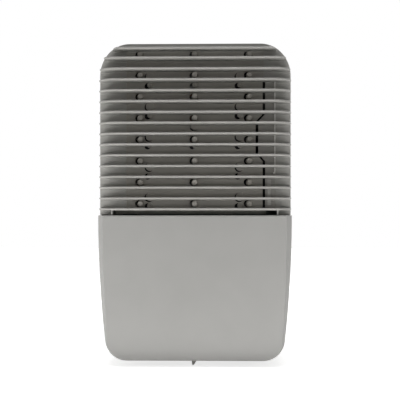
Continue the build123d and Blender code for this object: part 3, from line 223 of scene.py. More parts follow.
frame_low, frame_high = box_mm("front_grille")
tank_low, tank_high = box_mm("tank_front")
panel_low, panel_high = box_mm("inner_panel")
cover_low, cover_high = box_mm("side_cover")
half_w = frame_high[0]
front_y = frame_low[1]
split_y = frame_high[1]
top_z = frame_high[2]
bottom_z = tank_low[2]
tank_top_z = tank_high[2]
panel_y = cover_low[1]
wall = 2.5
seat = 0.3  # play of one part in another
sink = 0.8  # how far a blade's root goes into the wall
shoulder_r, bottom_r, lower_taper = 57.0, 40.0, 17.0
sill_z = tank_top_z + 8.5
window_half = panel_high[0] + seat
window_low_z, window_high_z = panel_low[2] - seat, panel_high[2] + seat
louvre_count, louvre_t, louvre_r = 16, 5.0, 32.0
louvre_rise = 29.5  # body's top down to the middle of the second highest blade
top_gap_share = 0.85  # the opening under the highest blade is narrower than the rest
louvre_pitch = (top_z - louvre_rise - sill_z - louvre_t / 2) / (louvre_count - 2)
louvre_zs = sill_z + louvre_t / 2 + louvre_pitch * np.arange(louvre_count)
louvre_zs[-1] = louvre_zs[-2] + louvre_t + top_gap_share * (louvre_pitch - louvre_t)
sweep_back = 14.5
frame_t = 4.5  # wall behind the blades, with its ribs
finger_half = half_w - 26.0  # half width of the finger slot
print("half width", half_w, "front", front_y, "louvre pitch", louvre_pitch)


# %% [markdown]
# ## Making a mesh from arrays
# A moulded part is a few smooth surfaces that meet at crisp but never sharp edges. Each surface is
# worked out as a grid of points and joined by four-sided faces, and the surfaces of one part are welded
# and turned to face outwards.


# %% Faces and welding
def quads(rows, cols, first=0, around_rows=False, around_cols=False):
    """Corner numbers of a grid's faces: (i, j), (i, j+1), (i+1, j+1), (i+1, j)."""
    i = np.arange(rows if around_rows else rows - 1)[:, None]
    j = np.arange(cols if around_cols else cols - 1)[None, :]
    i2, j2 = (i + 1) % rows, (j + 1) % cols
    faces = np.stack([i * cols + j, i * cols + j2, i2 * cols + j2, i2 * cols + j], -1)
    return (faces.reshape(-1, 4) + first).tolist()


def welded(name, parts):
    """Mesh from (points in mm, faces) pairs, with shared corners joined and faces turned outwards."""
    points, faces, count = [], [], 0
    for p, f in parts:
        p = np.asarray(p, float).reshape(-1, 3)
        points.append(p)
        faces += [[v + count for v in face] for face in f]
        count += len(p)
    mesh = bpy.data.meshes.new(name)
    mesh.from_pydata((np.concatenate(points) / 1000).tolist(), [], faces)
    b = bmesh.new()
    b.from_mesh(mesh)
    bmesh.ops.remove_doubles(b, verts=b.verts, dist=2e-6)
    bmesh.ops.dissolve_degenerate(b, edges=b.edges, dist=2e-6)
    bmesh.ops.recalc_face_normals(b, faces=b.faces)
    b.to_mesh(mesh)
    b.free()
    return mesh


print("a grid of 3 by 4 points has", len(quads(3, 4)), "faces")

# %% [markdown]
# A finished piece is smooth across gentle bends and sharp across edges, and a narrow bevel breaks each
# edge as the polished steel of a mould does. It moves with one body and may stand for solids.


# %% From mesh to finished piece
def finished(name, mesh, body, nodes, finish, edge, bend=32.0, steps=2):
    """Smooth shading up to a bend angle, an optional edge radius in mm, a finish and a body."""
    mesh.materials.clear()
    mesh.materials.append(finish)
    mesh.shade_smooth()
    mesh.set_sharp_from_angle(angle=np.radians(bend))
    made = bpy.data.objects.new(name, mesh)
    bpy.context.collection.objects.link(made)
    if edge:
        bevel = made.modifiers.new("edges", "BEVEL")
        bevel.width = edge / 1000
        bevel.segments = steps
        bevel.limit_method = "ANGLE"
        bevel.angle_limit = np.radians(bend)
        bevel.harden_normals = True
    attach(made, body)
    if nodes:
        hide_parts(*nodes)
    print(name, len(mesh.polygons), "faces")
    return made


def piece(name, parts, body, nodes, finish, edge=0.0, bend=32.0, steps=2):
    """Finished piece made from (points in mm, faces) pairs."""
    mesh = welded(name, parts)
    return finished(name, mesh, body, nodes, finish, edge, bend, steps)


# %% [markdown]
# ## The body's outline
# From the front, the body has round shoulders and upright flanks, and below the tank's upper edge a long
# arc draws in towards round lower corners. From above, the wall behind the louvres is flat in the middle
# and swept back at each side. Two functions give these forms at any height or place, so that all the
# surfaces that follow them agree.


# %% Outline and swept wall
def half_at(z, inset=0.0, drop=0.0, shoulder=shoulder_r):
    """Half width of the front view at height z.

    Shoulder: half - r + root(r squared - height above its centre squared). Flank: half. Below the
    tank's top: an arc of radius big, upright where it starts, and below turn_z a circle of radius r2.
    """
    z = np.asarray(z, float)
    half, high, low = half_w - inset, top_z - drop - inset, bottom_z + inset
    r, r2 = shoulder - inset, bottom_r - inset
    big = (lower_taper**2 + (tank_top_z - low) ** 2) / (2 * lower_taper)
    fx = half - big + np.sqrt((big - r2) ** 2 - (tank_top_z - low - r2) ** 2)
    upper = half - r + np.sqrt(np.clip(r**2 - np.clip(z - high + r, 0, r) ** 2, 0, None))
    lower = half - big + np.sqrt(big**2 - np.clip(tank_top_z - z, 0, None) ** 2)
    turn_z = tank_top_z - (tank_top_z - low - r2) * big / (big - r2)
    corner = fx + np.sqrt(np.clip(r2**2 - (low + r2 - z) ** 2, 0, None))
    return np.where(z < turn_z, corner, np.minimum(upper, lower))


def wall_y(x):
    """Depth of the wall behind the louvres: panel's face + r - root(r squared - out squared).

    out is the distance beyond the window, and the radius r makes the whole sweep sweep_back deep.
    """
    run = half_w - window_half
    r = (run**2 + sweep_back**2) / (2 * sweep_back)
    out = np.clip(np.abs(x) - window_half, 0, run)
    return panel_y + r - np.sqrt(r**2 - out**2)


print("half width above the lower corner", half_at(bottom_z + bottom_r))
print("wall's depth in the middle and at the flank", wall_y(0.0), wall_y(half_w))

# %% [markdown]
# ## Moulded plastics
# The shell is ABS, a tough opaque plastic, moulded against steel that was spark-eroded to a fine matt
# grain. That gives the eye a soft satin surface without mirror reflections. Real grain is about a tenth
# of a millimetre, too fine to show, so it is drawn at four tenths. A slow drift of tone, a few
# centimetres wide, stands for the faint flow marks that a large moulding has. One function makes all the
# moulded plastics here, because they differ only in colour, gloss and grain.


# %% Moulded plastic
def moulded(name, tone_a, tone_b, roughness, grain_mm, grain_deep, drift_mm=55.0, ior=1.53):
    """Opaque moulded plastic: two near tones in slow patches, uneven gloss, and an eroded grain."""
    material, tree, place = new_finish(name)
    drift = add(tree, "TexNoise", {"Vector": place, "Scale": 1000 / drift_mm, "Detail": 2.0})
    tone = add(tree, "ValToRGB", {"Fac": drift.outputs["Fac"]})
    tone.color_ramp.elements[0].position, tone.color_ramp.elements[1].position = 0.3, 0.7
    tone.color_ramp.elements[0].color = linear(tone_a)
    tone.color_ramp.elements[1].color = linear(tone_b)
    patch = add(tree, "TexNoise", {"Vector": place, "Scale": 1000 / 12.0, "Detail": 3.0})
    gloss = add(
        tree,
        "MapRange",
        {"Value": patch.outputs["Fac"], "To Min": roughness - 0.04, "To Max": roughness + 0.04},
    )
    grain = add(tree, "TexNoise", {"Vector": place, "Scale": 1000 / grain_mm, "Detail": 2.0})
    bump = add(
        tree,
        "Bump",
        {"Height": grain.outputs["Fac"], "Strength": 0.35, "Distance": grain_deep / 1000},
    )
    skin = add(
        tree,
        "BsdfPrincipled",
        {
            "Base Color": tone.outputs["Color"],
            "Roughness": gloss.outputs["Result"],
            "IOR": ior,
            "Normal": bump.outputs["Normal"],
        },
    )
    add(tree, "OutputMaterial", {"Surface": skin.outputs[0]})
    return material


# The shell is a warm mid grey and the tank's front comes from a slightly cooler batch. Inside, the
# panel and its cover are nearly the same grey with a little less gloss. The bead is drawn near white as a
# painted highlight, the light line along the cover's edge, and the pad is a little paler than the cover.
abs_shell = moulded("abs_eroded_warm_grey", "#abaaa5", "#afada9", 0.46, 0.4, 0.05)
abs_front = moulded("abs_eroded_grey_tank_batch", "#acaba8", "#afaeab", 0.46, 0.4, 0.05)
abs_panel = moulded("abs_eroded_panel_grey", "#a7a39c", "#aaa69f", 0.5, 0.5, 0.05)
abs_cover = moulded("abs_eroded_cover_grey", "#a5a29d", "#a9a6a1", 0.48, 0.5, 0.05)
abs_inner = moulded("abs_natural_inner", "#8b8b88", "#929290", 0.5, 0.6, 0.04)
abs_controls = moulded("abs_satin_dark_panel", "#3b3c3d", "#404142", 0.38, 0.35, 0.03)
abs_button = moulded("abs_satin_button", "#8e8d8a", "#939290", 0.4, 0.35, 0.03)
# The bead's near white is a painted highlight: it stands for the light line along the side cover's edge.
abs_bead_painted_highlight = moulded("abs_bead_near_white_painted_highlight", "#efede9", "#f3f1ee", 0.45, 0.3, 0.3, 20.0, 1.54)
abs_pad = moulded("abs_moulded_pad_grey", "#bab8b3", "#bebcb7", 0.45, 0.3, 0.03, 20.0, 1.54)
# The black foam is painted shade: it lies behind the panel's openings and joint so that they read black.
shade_foam_black = moulded("polyurethane_foam_black_painted_shade", "#0d0d0d", "#151515", 0.95, 0.9, 0.3, 20.0, 1.45)
nylon_black = moulded("nylon_moulded_black", "#1d1d1e", "#242425", 0.42, 0.5, 0.04)
foam_white = moulded("polystyrene_beads_white", "#e6e5e0", "#efeeea", 0.7, 3.0, 0.5, 30.0, 1.4)
print("moulded plastics made, the shell's is", abs_shell.name)

# %% [markdown]
# ## The louvred front
# Sixteen thin blades cross the front and wrap round both corners, flush with the sides. In the mould each
# is a fin that thickens towards its root, so that it leaves the steel, and its front edge is rounded. A
# blade is therefore a profile carried along a path: the path is the blade's front edge in plan, straight
# and then a quarter circle, and the profile is a half ellipse at the front with two straight sides running
# back to the wall. The upper blades end where the round shoulders of the body cut them off, so the path's
# length is worked out from the body's outline at each height.


# %% Louvres
def blades(levels, root_y, nose=3.5, root=4.4, n_corner=14):
    """Grid over (blade, place along the edge, place round the profile).

    Edge in plan: x = s + r sin(a), y = front + r (1 - cos(a)), cut at the body's half width.
    Nose: half an ellipse, nose_deep by nose, a little above the middle. Roots lie root_y(x, z) behind.
    """
    nose_deep, nose_lift = 1.5, 0.3
    phi = np.radians(np.linspace(-90, 90, 9))
    deep = np.concatenate([[0], nose_deep * (1 - np.cos(phi)), [0]])
    rise = np.concatenate([[-root / 2], nose / 2 * np.sin(phi) + nose_lift, [root / 2]])
    is_root = np.zeros(len(deep), bool)
    is_root[[0, -1]] = True
    z = np.asarray(levels)[:, None, None] + rise[None, None, :]
    limit = half_at(z, drop=5.0, shoulder=60.0)
    run = np.minimum(half_w - louvre_r, limit)
    reach = np.arcsin(np.clip((limit - half_w + louvre_r) / louvre_r, 0, 1))
    straight = half_w - louvre_r
    t = np.array([0, window_half - 0.02, window_half + 0.02, straight]) / straight
    t = np.concatenate([t, np.ones(n_corner)])
    a = np.concatenate([np.zeros(4), np.linspace(0, 1, n_corner + 1)[1:]])
    side = np.concatenate([-np.ones(len(t)), np.ones(len(t) - 1)])
    t, a = np.concatenate([t[::-1], t[1:]]), np.concatenate([a[::-1], a[1:]])
    t, a, side = t[None, :, None], a[None, :, None] * reach, side[None, :, None]
    x = t * run + louvre_r * np.sin(a) - deep * np.sin(a)
    y = front_y + louvre_r * (1 - np.cos(a)) + deep * np.cos(a)
    x = side * (x + 0 * z)
    y = np.where(is_root, root_y(x, z), y)
    return np.stack(np.broadcast_arrays(x, y, z), -1)


def blade_faces(grid):
    """Each blade closed round its profile, with a flat end at both sides."""
    levels, rows, cols = grid.shape[:3]
    faces = []
    for k in range(levels):
        first = k * rows * cols
        faces += quads(rows, cols, first, around_cols=True)
        faces.append([first + c for c in range(cols)])
        faces.append([first + (rows - 1) * cols + c for c in range(cols)])
    return faces


def blade_root(x, z):
    """Roots stop short of the inner panel, touch the side cover, and sink a little into the wall."""
    louvre_air = 3.0
    root = np.where(np.abs(x) < window_half, panel_y - louvre_air, wall_y(x) + sink)
    beside = (x > window_half) & (x < cover_high[0]) & (z < cover_high[2])
    return np.where(beside, panel_y - 0.1, root)


def sill_root(x, z):
    """The sill reaches back under the inner panel."""
    return np.where(np.abs(x) < window_half, panel_y + frame_t, wall_y(x) + sink)


upper_blades = blades(louvre_zs[1:], blade_root)
sill_blade = blades(louvre_zs[:1], sill_root, nose=4.2)
print("blades", len(upper_blades), "and a sill, points in each", upper_blades[0].size // 3)


# %% [markdown]
# The wall behind the blades is one sheet with a window in it. It is flat in the middle and swept back at
# each side, and its rim runs round the shoulders as the first part of the body's shell. That is a strip
# that goes up one side, over the top and down the other. Across the strip, the points run from the rim's
# rear edge to its front edge, along the swept wall to the window, through the window's thickness, and back
# along the inside, so the strip closes on itself.


# %% Frame behind the louvres
def over_the_top(inset, bends=18):
    """Path up the left flank, round both shoulders and down the right flank: x and z.

    Shoulder: half width and height of its centre, plus r cos(a) and r sin(a), with a from 0 to 90.
    """
    r, low, high = shoulder_r - inset, sill_z, top_z - inset
    strip_z = cover_high[2]
    flank = np.array([low, window_low_z, strip_z - 0.01, strip_z + 0.01, top_z - shoulder_r])
    a = np.radians(np.linspace(0, 90, bends))
    x = np.concatenate([np.full(5, half_w - inset), half_w - shoulder_r + r * np.cos(a)])
    z = np.concatenate([flank, top_z - shoulder_r + r * np.sin(a)])
    return np.concatenate([-x, x[::-1]]), np.concatenate([z, z[::-1]])


outer_x, outer_z = over_the_top(0.0)
inner_x, inner_z = over_the_top(wall)
right = outer_x > 0
hole_x = np.where(right & (outer_z < cover_high[2]), cover_high[0] + seat, window_half)
hole_z = np.clip(outer_z, window_low_z, window_high_z)
above = outer_z > top_z - shoulder_r + 1
hole_x = np.where(above, window_half, hole_x) * np.sign(outer_x)
hole_z = np.where(above, window_high_z, hole_z)
share = np.linspace(0, 1, 9)[:, None]
across_x = outer_x + (hole_x - outer_x) * share
across_z = outer_z + (hole_z - outer_z) * share
rim = np.stack([outer_x, 0 * outer_x + split_y, outer_z], -1)[None]
face = np.stack([across_x, wall_y(across_x), across_z], -1)
back = face[-1:] + [0, frame_t, 0]
inside = np.stack([inner_x, wall_y(inner_x) + frame_t, inner_z], -1)[None]
inside_rear = np.stack([inner_x, 0 * inner_x + split_y, inner_z], -1)[None]
strip = np.concatenate([rim, face, back, inside, inside_rear])
rows, cols = strip.shape[:2]
strip_faces = quads(rows, cols, around_rows=True)
strip_faces.append([i * cols for i in range(rows)])
strip_faces.append([i * cols + cols - 1 for i in range(rows)])
print("strip of", rows, "by", cols, "points")

# %% [markdown]
# Beside the finger slot the front is set back as the wall is, and a thin rib marks each end of the slot.
# Blades, strip and corners come out of one mould, so they are joined as one piece.


# %% Slot ends, and the louvred front
def slot_end(side, low, high):
    """Corner beside the finger slot: an outline in plan, upright from low to high.

    It runs round the thin rib at the slot's end, along the swept wall to the flank, and straight back.
    """
    rib_x0, rib_x1, rib_y = finger_half - 1.1, finger_half + 0.9, front_y + 6.0
    x = np.linspace(finger_half, half_w, 9)
    wall_line = np.stack([x, wall_y(x)], -1)
    rib = [(rib_x0, split_y), (rib_x0, rib_y), (rib_x1, rib_y), (rib_x1, wall_y(rib_x1))]
    ring = np.concatenate([rib, wall_line[1:], [(half_w, split_y)]]) * [side, 1]
    n = len(ring)
    points = np.concatenate(
        [np.column_stack([ring, np.full(n, low)]), np.column_stack([ring, np.full(n, high)])]
    )
    return points, quads(2, n, around_cols=True) + [list(range(n)), list(range(n, 2 * n))]


piece(
    "louvred_front",
    [
        (upper_blades, blade_faces(upper_blades)),
        (sill_blade, blade_faces(sill_blade)),
        (strip, strip_faces),
        slot_end(-1, tank_top_z + 0.5, sill_z + 1),
        slot_end(1, tank_top_z + 0.5, sill_z + 1),
    ],
    "cabinet",
    ["front_grille"],
    abs_shell,
)

# %% [markdown]
# ## The inner panel
# Behind the blades sits a flat panel with long round pegs, flat discs and short hollow studs, the marks
# of a moulding that locates other parts. Narrow air slots are hidden behind the blades. The sheet is a
# grid of rows whose right end follows the notch for the side cover, with the cells of the air slots left
# out, and a Solidify modifier gives it its thickness.


# %% Inner panel
def plate(ring, y_front, y_back):
    """Closed plate from an outline in the front view, as points (x, z), between two depths."""
    ring = np.asarray(ring, float)
    n = len(ring)
    front = np.column_stack([ring[:, 0], np.full(n, y_front), ring[:, 1]])
    rear = np.column_stack([ring[:, 0], np.full(n, y_back), ring[:, 1]])
    return np.concatenate([front, rear]), quads(2, n, around_cols=True) + [
        list(range(n)),
        list(range(n, 2 * n)),
    ]


def upright(x0, x1, z0, z1, y_front, y_back):
    """Plain upright block."""
    return plate([(x0, z0), (x1, z0), (x1, z1), (x0, z1)], y_front, y_back)


seam_half = 2.3  # half the gap between panel and cover
tab_depth = 12.9
cover_end = cover_high[2] + seat
tab_z = cover_end - 104.5
tab_zs = [tab_z - 43.25, tab_z - 29.5, tab_z + 29.5, tab_z + 43.25]


def right_edge(z):
    """Right end of the panel at height z: a shallow trapezium is cut out for the cover's tab."""
    out = window_half - seam_half
    edge = np.interp(z, tab_zs, [out, out - tab_depth, out - tab_depth, out])
    return np.where(z > cover_end, window_half - seat, edge)


slot_zs = louvre_zs[1:-1]
slot_half_h, slot_half_w = 2.2, window_half - 54.8
levels = [panel_low[2], panel_high[2], cover_end - 0.01, cover_end + 0.01]
lines = np.concatenate([slot_zs - slot_half_h, slot_zs + slot_half_h, levels, tab_zs])
lines = np.unique(np.round(lines, 3))
none = 0 * lines
columns = [none + panel_low[0], none - slot_half_w, none + slot_half_w, right_edge(lines)]
sheet_x = np.stack(columns, -1)
sheet_z = np.repeat(lines[:, None], len(columns), 1)
sheet_points = np.stack([sheet_x, np.full(sheet_x.shape, panel_y), sheet_z], -1)
across = len(columns) - 1
middle = (lines[:-1] + lines[1:]) / 2
in_slot = (np.abs(middle[:, None] - slot_zs[None, :]) < slot_half_h).any(1)
sheet_faces = [
    f
    for k, f in enumerate(quads(*sheet_x.shape))
    if not (k % across == 1 and in_slot[k // across])
]
panel = piece(
    "inner_sheet",
    [(sheet_points, sheet_faces)],
    "cabinet",
    ["inner_panel"],
    abs_panel,
)
panel.data.shade_flat()
solid = panel.modifiers.new("thickness", "SOLIDIFY")
solid.thickness, solid.offset = wall / 1000, -1

# %% [markdown]
# Pegs, discs and studs are turned forms: a profile of radius and height spun round, as one array for all
# of them. They stand in columns, with a peg in every other gap between blades. A stud's profile goes up
# over its rim, down into a ring-shaped hollow and up to its core.


# %% Turned forms and their places
def turned(centres, radii, heights, around=24):
    """Round forms on the panel: (centre, place up the profile, angle), closed by flat caps.

    x and z = centre + radius cos(angle) and radius sin(angle), y = the panel's face - height.
    """
    angle = np.linspace(0, 2 * np.pi, around, endpoint=False)
    centres = np.asarray(centres, float)[:, None, None, :]
    r, h = np.asarray(radii)[None, :, None], np.asarray(heights)[None, :, None]
    x = centres[..., 0] + r * np.cos(angle)
    z = centres[..., 1] + r * np.sin(angle)
    y = panel_y - h + 0 * x
    grid = np.stack([x, y, z], -1)
    faces, n = [], len(radii)
    for k in range(len(grid)):
        first = k * n * around
        faces += quads(n, around, first, around_cols=True)
        faces.append([first + c for c in range(around)])
        faces.append([first + (n - 1) * around + c for c in range(around)])
    return grid, faces


peg_zs = (louvre_zs[::2] + louvre_zs[1::2]) / 2
disc_zs = np.linspace(tank_top_z + 34.0, top_z - 60.0, 5)
peg_x, disc_x = window_half - 26.8, window_half - 43.8
side_pegs = [(s * peg_x, z) for s in (-1, 1) for z in peg_zs]
discs = [(s * disc_x, z) for s in (-1, 1) for z in disc_zs] + [(0, disc_zs[2] + louvre_pitch)]
studs = [(s * disc_x, z - 16) for s in (-1, 1) for z in disc_zs] + [(0, z - 16) for z in disc_zs[2::2]]
centre_pegs = [(0, z) for z in peg_zs]
peg_r = [6.4, 5.9, 5.6, 5.2, 4.8, 3.9]
side_peg_h, centre_peg_h = [-0.4, 0.3, 1.2, 12.4, 13.4, 14.0], [-0.4, 0.3, 1.2, 16.6, 17.6, 18.0]
disc_r, disc_h = [7.9, 7.7, 7.5, 7.1], [-0.4, 0.8, 1.1, 1.2]
stud_r = [5.2, 5.0, 4.6, 4.0, 3.0, 2.7, 1.9, 1.6]
stud_h = [-0.4, 3.4, 4.2, 4.4, 4.2, 2.6, 2.6, 3.6]
print(len(side_pegs) + len(centre_pegs), "pegs,", len(discs), "discs and", len(studs), "studs")

# %% [markdown]
# The sheet has a round opening at each form, a little to its left, of which a dark crescent is left to
# see. Each crescent stands for the shadow its form casts to the left, and where the black foam tape lies
# behind it, that is painted shadow. The openings are turned forms too, and a Boolean modifier cuts them
# out of the sheet. Its result is kept as the sheet's own mesh, so that the cutting bodies can go.

# %% Openings, and the forms beside them
cut_h = [1.0, -4.0]  # from in front of the sheet to behind it
peg_cut_r, disc_cut_r, stud_cut_r = 6.3, 8.4, 5.8


def beside(centres, left, down):
    """Places a little left of and below other places."""
    return [(x - left, z - down) for x, z in centres]


cutters = [
    turned(beside(side_pegs + centre_pegs, 4.0, -0.5), [peg_cut_r] * 2, cut_h),
    turned(beside(discs, 1.9, 1.2), [disc_cut_r] * 2, cut_h, 32),
    turned(beside(studs, 4.4, 1.8), [stud_cut_r] * 2, cut_h),
]
openings = bpy.data.objects.new("openings", welded("openings", cutters))
bpy.context.collection.objects.link(openings)
cut = panel.modifiers.new("openings", "BOOLEAN")
cut.object, cut.solver, cut.use_self = openings, "EXACT", True
drilled = panel.evaluated_get(bpy.context.evaluated_depsgraph_get())
drilled = bpy.data.meshes.new_from_object(drilled)
panel.modifiers.clear()
panel.data = drilled
bpy.data.objects.remove(openings)
print("openings beside the pegs cut, faces now", len(drilled.polygons))
piece(
    "panel_pegs",
    [
        turned(side_pegs, peg_r, side_peg_h),
        turned(centre_pegs, peg_r, centre_peg_h),
        turned(discs, disc_r, disc_h, 32),
        turned(studs, stud_r, stud_h),
    ],
    "cabinet",
    [],
    abs_panel,
)

# %% [markdown]
# ## Behind the panel
# On its back the panel has two rails for the filter, each with a hook that keeps the filter from falling
# forwards. A skirt below the panel hides the inside from a look into the finger slot. Strips of black foam
# tape lie behind the panel's ends and its joint with the cover, where they would also keep air from
# leaking. Their black is painted shade, which makes the crescents beside the forms and that joint black.
# All are plain bars and strips, so each is an upright block between two depths.

# %% Filter rails, skirt and foam tape
filter_high = box_mm("filter_frame")[1]
rail_t, hook_t = 3.0, 2.7
rail_in, rail_out = filter_high[0] + seat, filter_high[0] + seat + rail_t
back_y, rail_y = panel_y + wall, panel_high[1]
rail_z0, rail_z1 = panel_low[2] + 0.7, panel_high[2] - 6.0
rails = []
for s in (-1, 1):
    hook_in = s * (filter_high[0] - rail_t)
    rails.append(upright(s * rail_in, s * rail_out, rail_z0, rail_z1, back_y, rail_y))
    rails.append(upright(hook_in, s * rail_in, rail_z0, rail_z1, rail_y - hook_t, rail_y))
piece("filter_rails", rails, "cabinet", [], abs_panel)

skirt_x0, skirt_x1 = -(finger_half - 3.0), window_half + 4.2
skirt_z0, skirt_z1 = tank_top_z + 2.5, panel_low[2] - 0.1
skirt_y, skirt_t = back_y + 6.0, 1.4
skirt = upright(skirt_x0, skirt_x1, skirt_z0, skirt_z1, skirt_y, skirt_y + skirt_t)
piece("panel_skirt", [skirt], "cabinet", [], abs_panel)

tape_in, tape_out, tape_t = slot_half_w + 1.0, panel_high[0] - 0.5, 0.5
tape_z0, tape_z1 = panel_low[2] + 1.0, panel_high[2] - 1.0
joint_in, joint_out = rail_out + 0.5, window_half + 5.2
# The tape's black is painted shade: it darkens the crescents beside the forms and the joint with the
# cover.
tape = [
    upright(-tape_out, -tape_in, tape_z0, tape_z1, back_y, back_y + tape_t),
    upright(tape_in, tape_out, tape_z0, tape_z1, back_y, back_y + tape_t),
    upright(joint_in, joint_out, tape_z0, cover_high[2] - 1.0, back_y, back_y + tape_t + 0.1),
]
piece("foam_tape_painted_shade", tape, "cabinet", [], shade_foam_black)

# %% [markdown]
# ## The side cover
# A narrow strip closes the air path on the right, with a tab that fits the panel's notch. It is a flat
# plate of one outline, so it is a closed ring of points given its thickness. A bead stands up along the
# upper part of its right edge, drawn near white as a painted highlight of the light line there. A low pad
# lies on its foot, and two short ribs run from the pad towards the edge. A small bevel breaks the edges of
# the plate and the pad.


# %% Side cover
def on_cover(x0, x1, z0, z1, proud):
    """Upright block that stands proud of the cover's face."""
    return upright(x0, x1, z0, z1, cover_low[1] - proud, cover_low[1])


left, edge_x, foot_z = window_half + seam_half, cover_high[0], cover_low[2]
notch = [(left, tab_zs[3]), (left - tab_depth, tab_zs[2]), (left - tab_depth, tab_zs[1])]
strip_outline = [(left, foot_z), (edge_x, foot_z), (edge_x, cover_high[2]), (left, cover_high[2])]
strip_outline += [*notch, (left, tab_zs[0])]
pad_x0, pad_x1, pad_z0, pad_z1 = edge_x - 14.6, edge_x - 8.0, foot_z + 4.2, foot_z + 52.2
bead_z, bead_foot = pad_z1 + 13.0, 3.4
beads = [
    on_cover(edge_x - 2.0, edge_x, bead_z, cover_high[2], 5.0),
    on_cover(edge_x - 4.3, edge_x, bead_z - bead_foot, bead_z, 3.0),
]
ribs = [
    on_cover(pad_x1, edge_x - 1.8, low, low + 2.0, 3.0) for low in (pad_z1 - 2.4, pad_z0 + 5.0)
]
plates = [plate(strip_outline, cover_low[1], cover_high[1]), *ribs]
piece("side_strip", plates, "cabinet", ["side_cover"], abs_cover, edge=0.5)
# The bead is drawn near white, a painted highlight along the cover's edge.
piece("side_strip_beads_painted_highlight", beads, "cabinet", [], abs_bead_painted_highlight)
pad = on_cover(pad_x0, pad_x1, pad_z0, pad_z1, 1.6)
piece("side_strip_pad", [pad], "cabinet", [], abs_pad, edge=0.3)

# %% [markdown]
# ## The tank's front
# The tank pulls out by its own front: a large flat face whose border slants back to the flanks, which
# then run back beside the bucket. Fingers go in behind its upper edge, so the shell is open at the top. It
# is a U-shaped strip from the top left, down, across and up to the top right, and these functions give
# the line along it at any place across it.


# %% The tank's outline
def u_path(half_top, half_low, low, r, down=26, bend=16):
    """Path down the left side, along the underside and up the right: arc, fillet, line, and back.

    Arc: radius big = (taper squared + drop squared) / (2 taper), upright at the top and taper further
    in at the bottom. Fillet: radius r, from turn_z below the top, where it touches the arc.
    """
    drop, taper = tank_top_z - low, half_top - half_low
    big = (taper**2 + drop**2) / (2 * taper)
    cx = half_top - big
    fx = cx + np.sqrt((big - r) ** 2 - (drop - r) ** 2)
    turn_z = (drop - r) * big / (big - r)
    z = tank_top_z - np.linspace(0, turn_z, down)
    x = cx + np.sqrt(big**2 - (tank_top_z - z) ** 2)
    start = np.arctan2(tank_top_z - turn_z - low - r, x[-1] - fx)
    a = np.linspace(start, -np.pi / 2, bend)[1:]
    x = np.concatenate([x, fx + r * np.cos(a)])
    z = np.concatenate([z, low + r + r * np.sin(a)])
    return np.concatenate([-x, x[::-1]]), np.concatenate([z, z[::-1]])


face_inset, foot_inset = 10.0, 3.5  # flat face in from the flanks, and up from the underside


def border(share, y):
    """Outer form between the flat face (0) and the flank (1)."""
    inset_top, inset_low = face_inset * (1 - share), foot_inset * (1 - share)
    x, z = u_path(
        half_w - inset_top,
        half_w - lower_taper - inset_low,
        bottom_z + inset_low,
        bottom_r - inset_low,
    )
    return np.stack([x, 0 * x + y, z], -1)


def inner(inset, y):
    """Inside of the shell, a wall's thickness in from the flank."""
    x, z = u_path(half_w - inset, half_w - lower_taper - inset, bottom_z + inset, bottom_r - inset)
    return np.stack([x, 0 * x + y, z], -1)


print("points along the tank's outline", len(border(1.0, split_y)))

# %% [markdown]
# Across the strip the points run from the flat face over a small chamfer, the slanted border and the
# flank, and return on the inside. Two flat sheets close the skin in front and behind, and a bevel in three
# steps rounds the edges.

# %% Tank front
rake, skin, chamfer = 16.0, 3.0, 2.4  # depth of the border, skin behind the face, first break
ladder = np.stack(
    [
        border(0.0, front_y),
        border(chamfer / rake, front_y + chamfer),
        border(0.5, front_y + rake / 2),
        border(1.0, front_y + rake),
        border(1.0, split_y),
        inner(wall, split_y),
        inner(wall, front_y + rake),
        inner(wall + face_inset, front_y + rake),
        inner(wall + face_inset, front_y + skin),
    ]
)
ladder[0, [0, -1], 2] -= chamfer
rows, cols = ladder.shape[:2]
tank_faces = quads(rows, cols)
last = (rows - 1) * cols
tank_faces.append(list(range(cols)))
tank_faces.append([last + c for c in range(cols)])
tank_faces.append([0, cols, 2 * cols - 1, cols - 1])
tank_faces.append([cols, last, last + cols - 1, 2 * cols - 1])
tank_faces.append([i * cols for i in range(1, rows)])
tank_faces.append([i * cols + cols - 1 for i in range(1, rows)])
piece(
    "tank_face",
    [(ladder, tank_faces)],
    "tank",
    ["tank_front"],
    abs_front,
    edge=0.9,
    bend=16.0,
    steps=3,
)

# %% [markdown]
# ## The rest of the shell
# Top cover, rear housing, base tub and handle are already exactly right as solids, with their pockets,
# grooves and openings. What they lack is what a mould leaves: smooth curves and broken edges. A copy of
# each solid's mesh is welded, its flat areas are joined into single faces, gentle bends are shaded
# smooth, and a bevel under a millimetre breaks the edges.


# %% Shell pieces from their solids
def broken_edges(node, name, body, finish, edge, bend=32.0, steps=2):
    """Copy of a solid's mesh with welded corners, whole flat faces, smooth bends and rounded edges."""
    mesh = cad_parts[node].data.copy()
    b = bmesh.new()
    b.from_mesh(mesh)
    bmesh.ops.remove_doubles(b, verts=b.verts, dist=2e-6)
    bmesh.ops.dissolve_limit(b, angle_limit=np.radians(0.2), verts=b.verts, edges=b.edges)
    b.to_mesh(mesh)
    b.free()
    return finished(name, mesh, body, [node], finish, edge, bend, steps)


big_shells = {"top_cover": "top_shell", "rear_housing": "rear_shell", "base_pan": "base_tub"}
for node, name in big_shells.items():
    broken_edges(node, name, "cabinet", abs_shell, 0.6)
broken_edges("carry_handle", "handle_bar", "handle", abs_shell, 1.6, steps=3)
broken_edges("outlet_grille", "outlet_vanes", "cabinet", abs_shell, 0.4)
broken_edges("control_panel", "control_plate", "cabinet", abs_controls, 0.4)

# %% [markdown]
# ## Metals
# Inside are drawn copper pipe, rolled aluminium fins and zinc-plated steel. A worked metal mirrors its
# surroundings softly, and its tone and gloss vary in patches that follow how it was worked: drawn copper
# tarnishes in patches of about a centimetre, rolled fin stock has lines along the strip, and zinc has
# small spangles. One function makes all three: a noise pattern, stretched or not, drives tone and gloss.


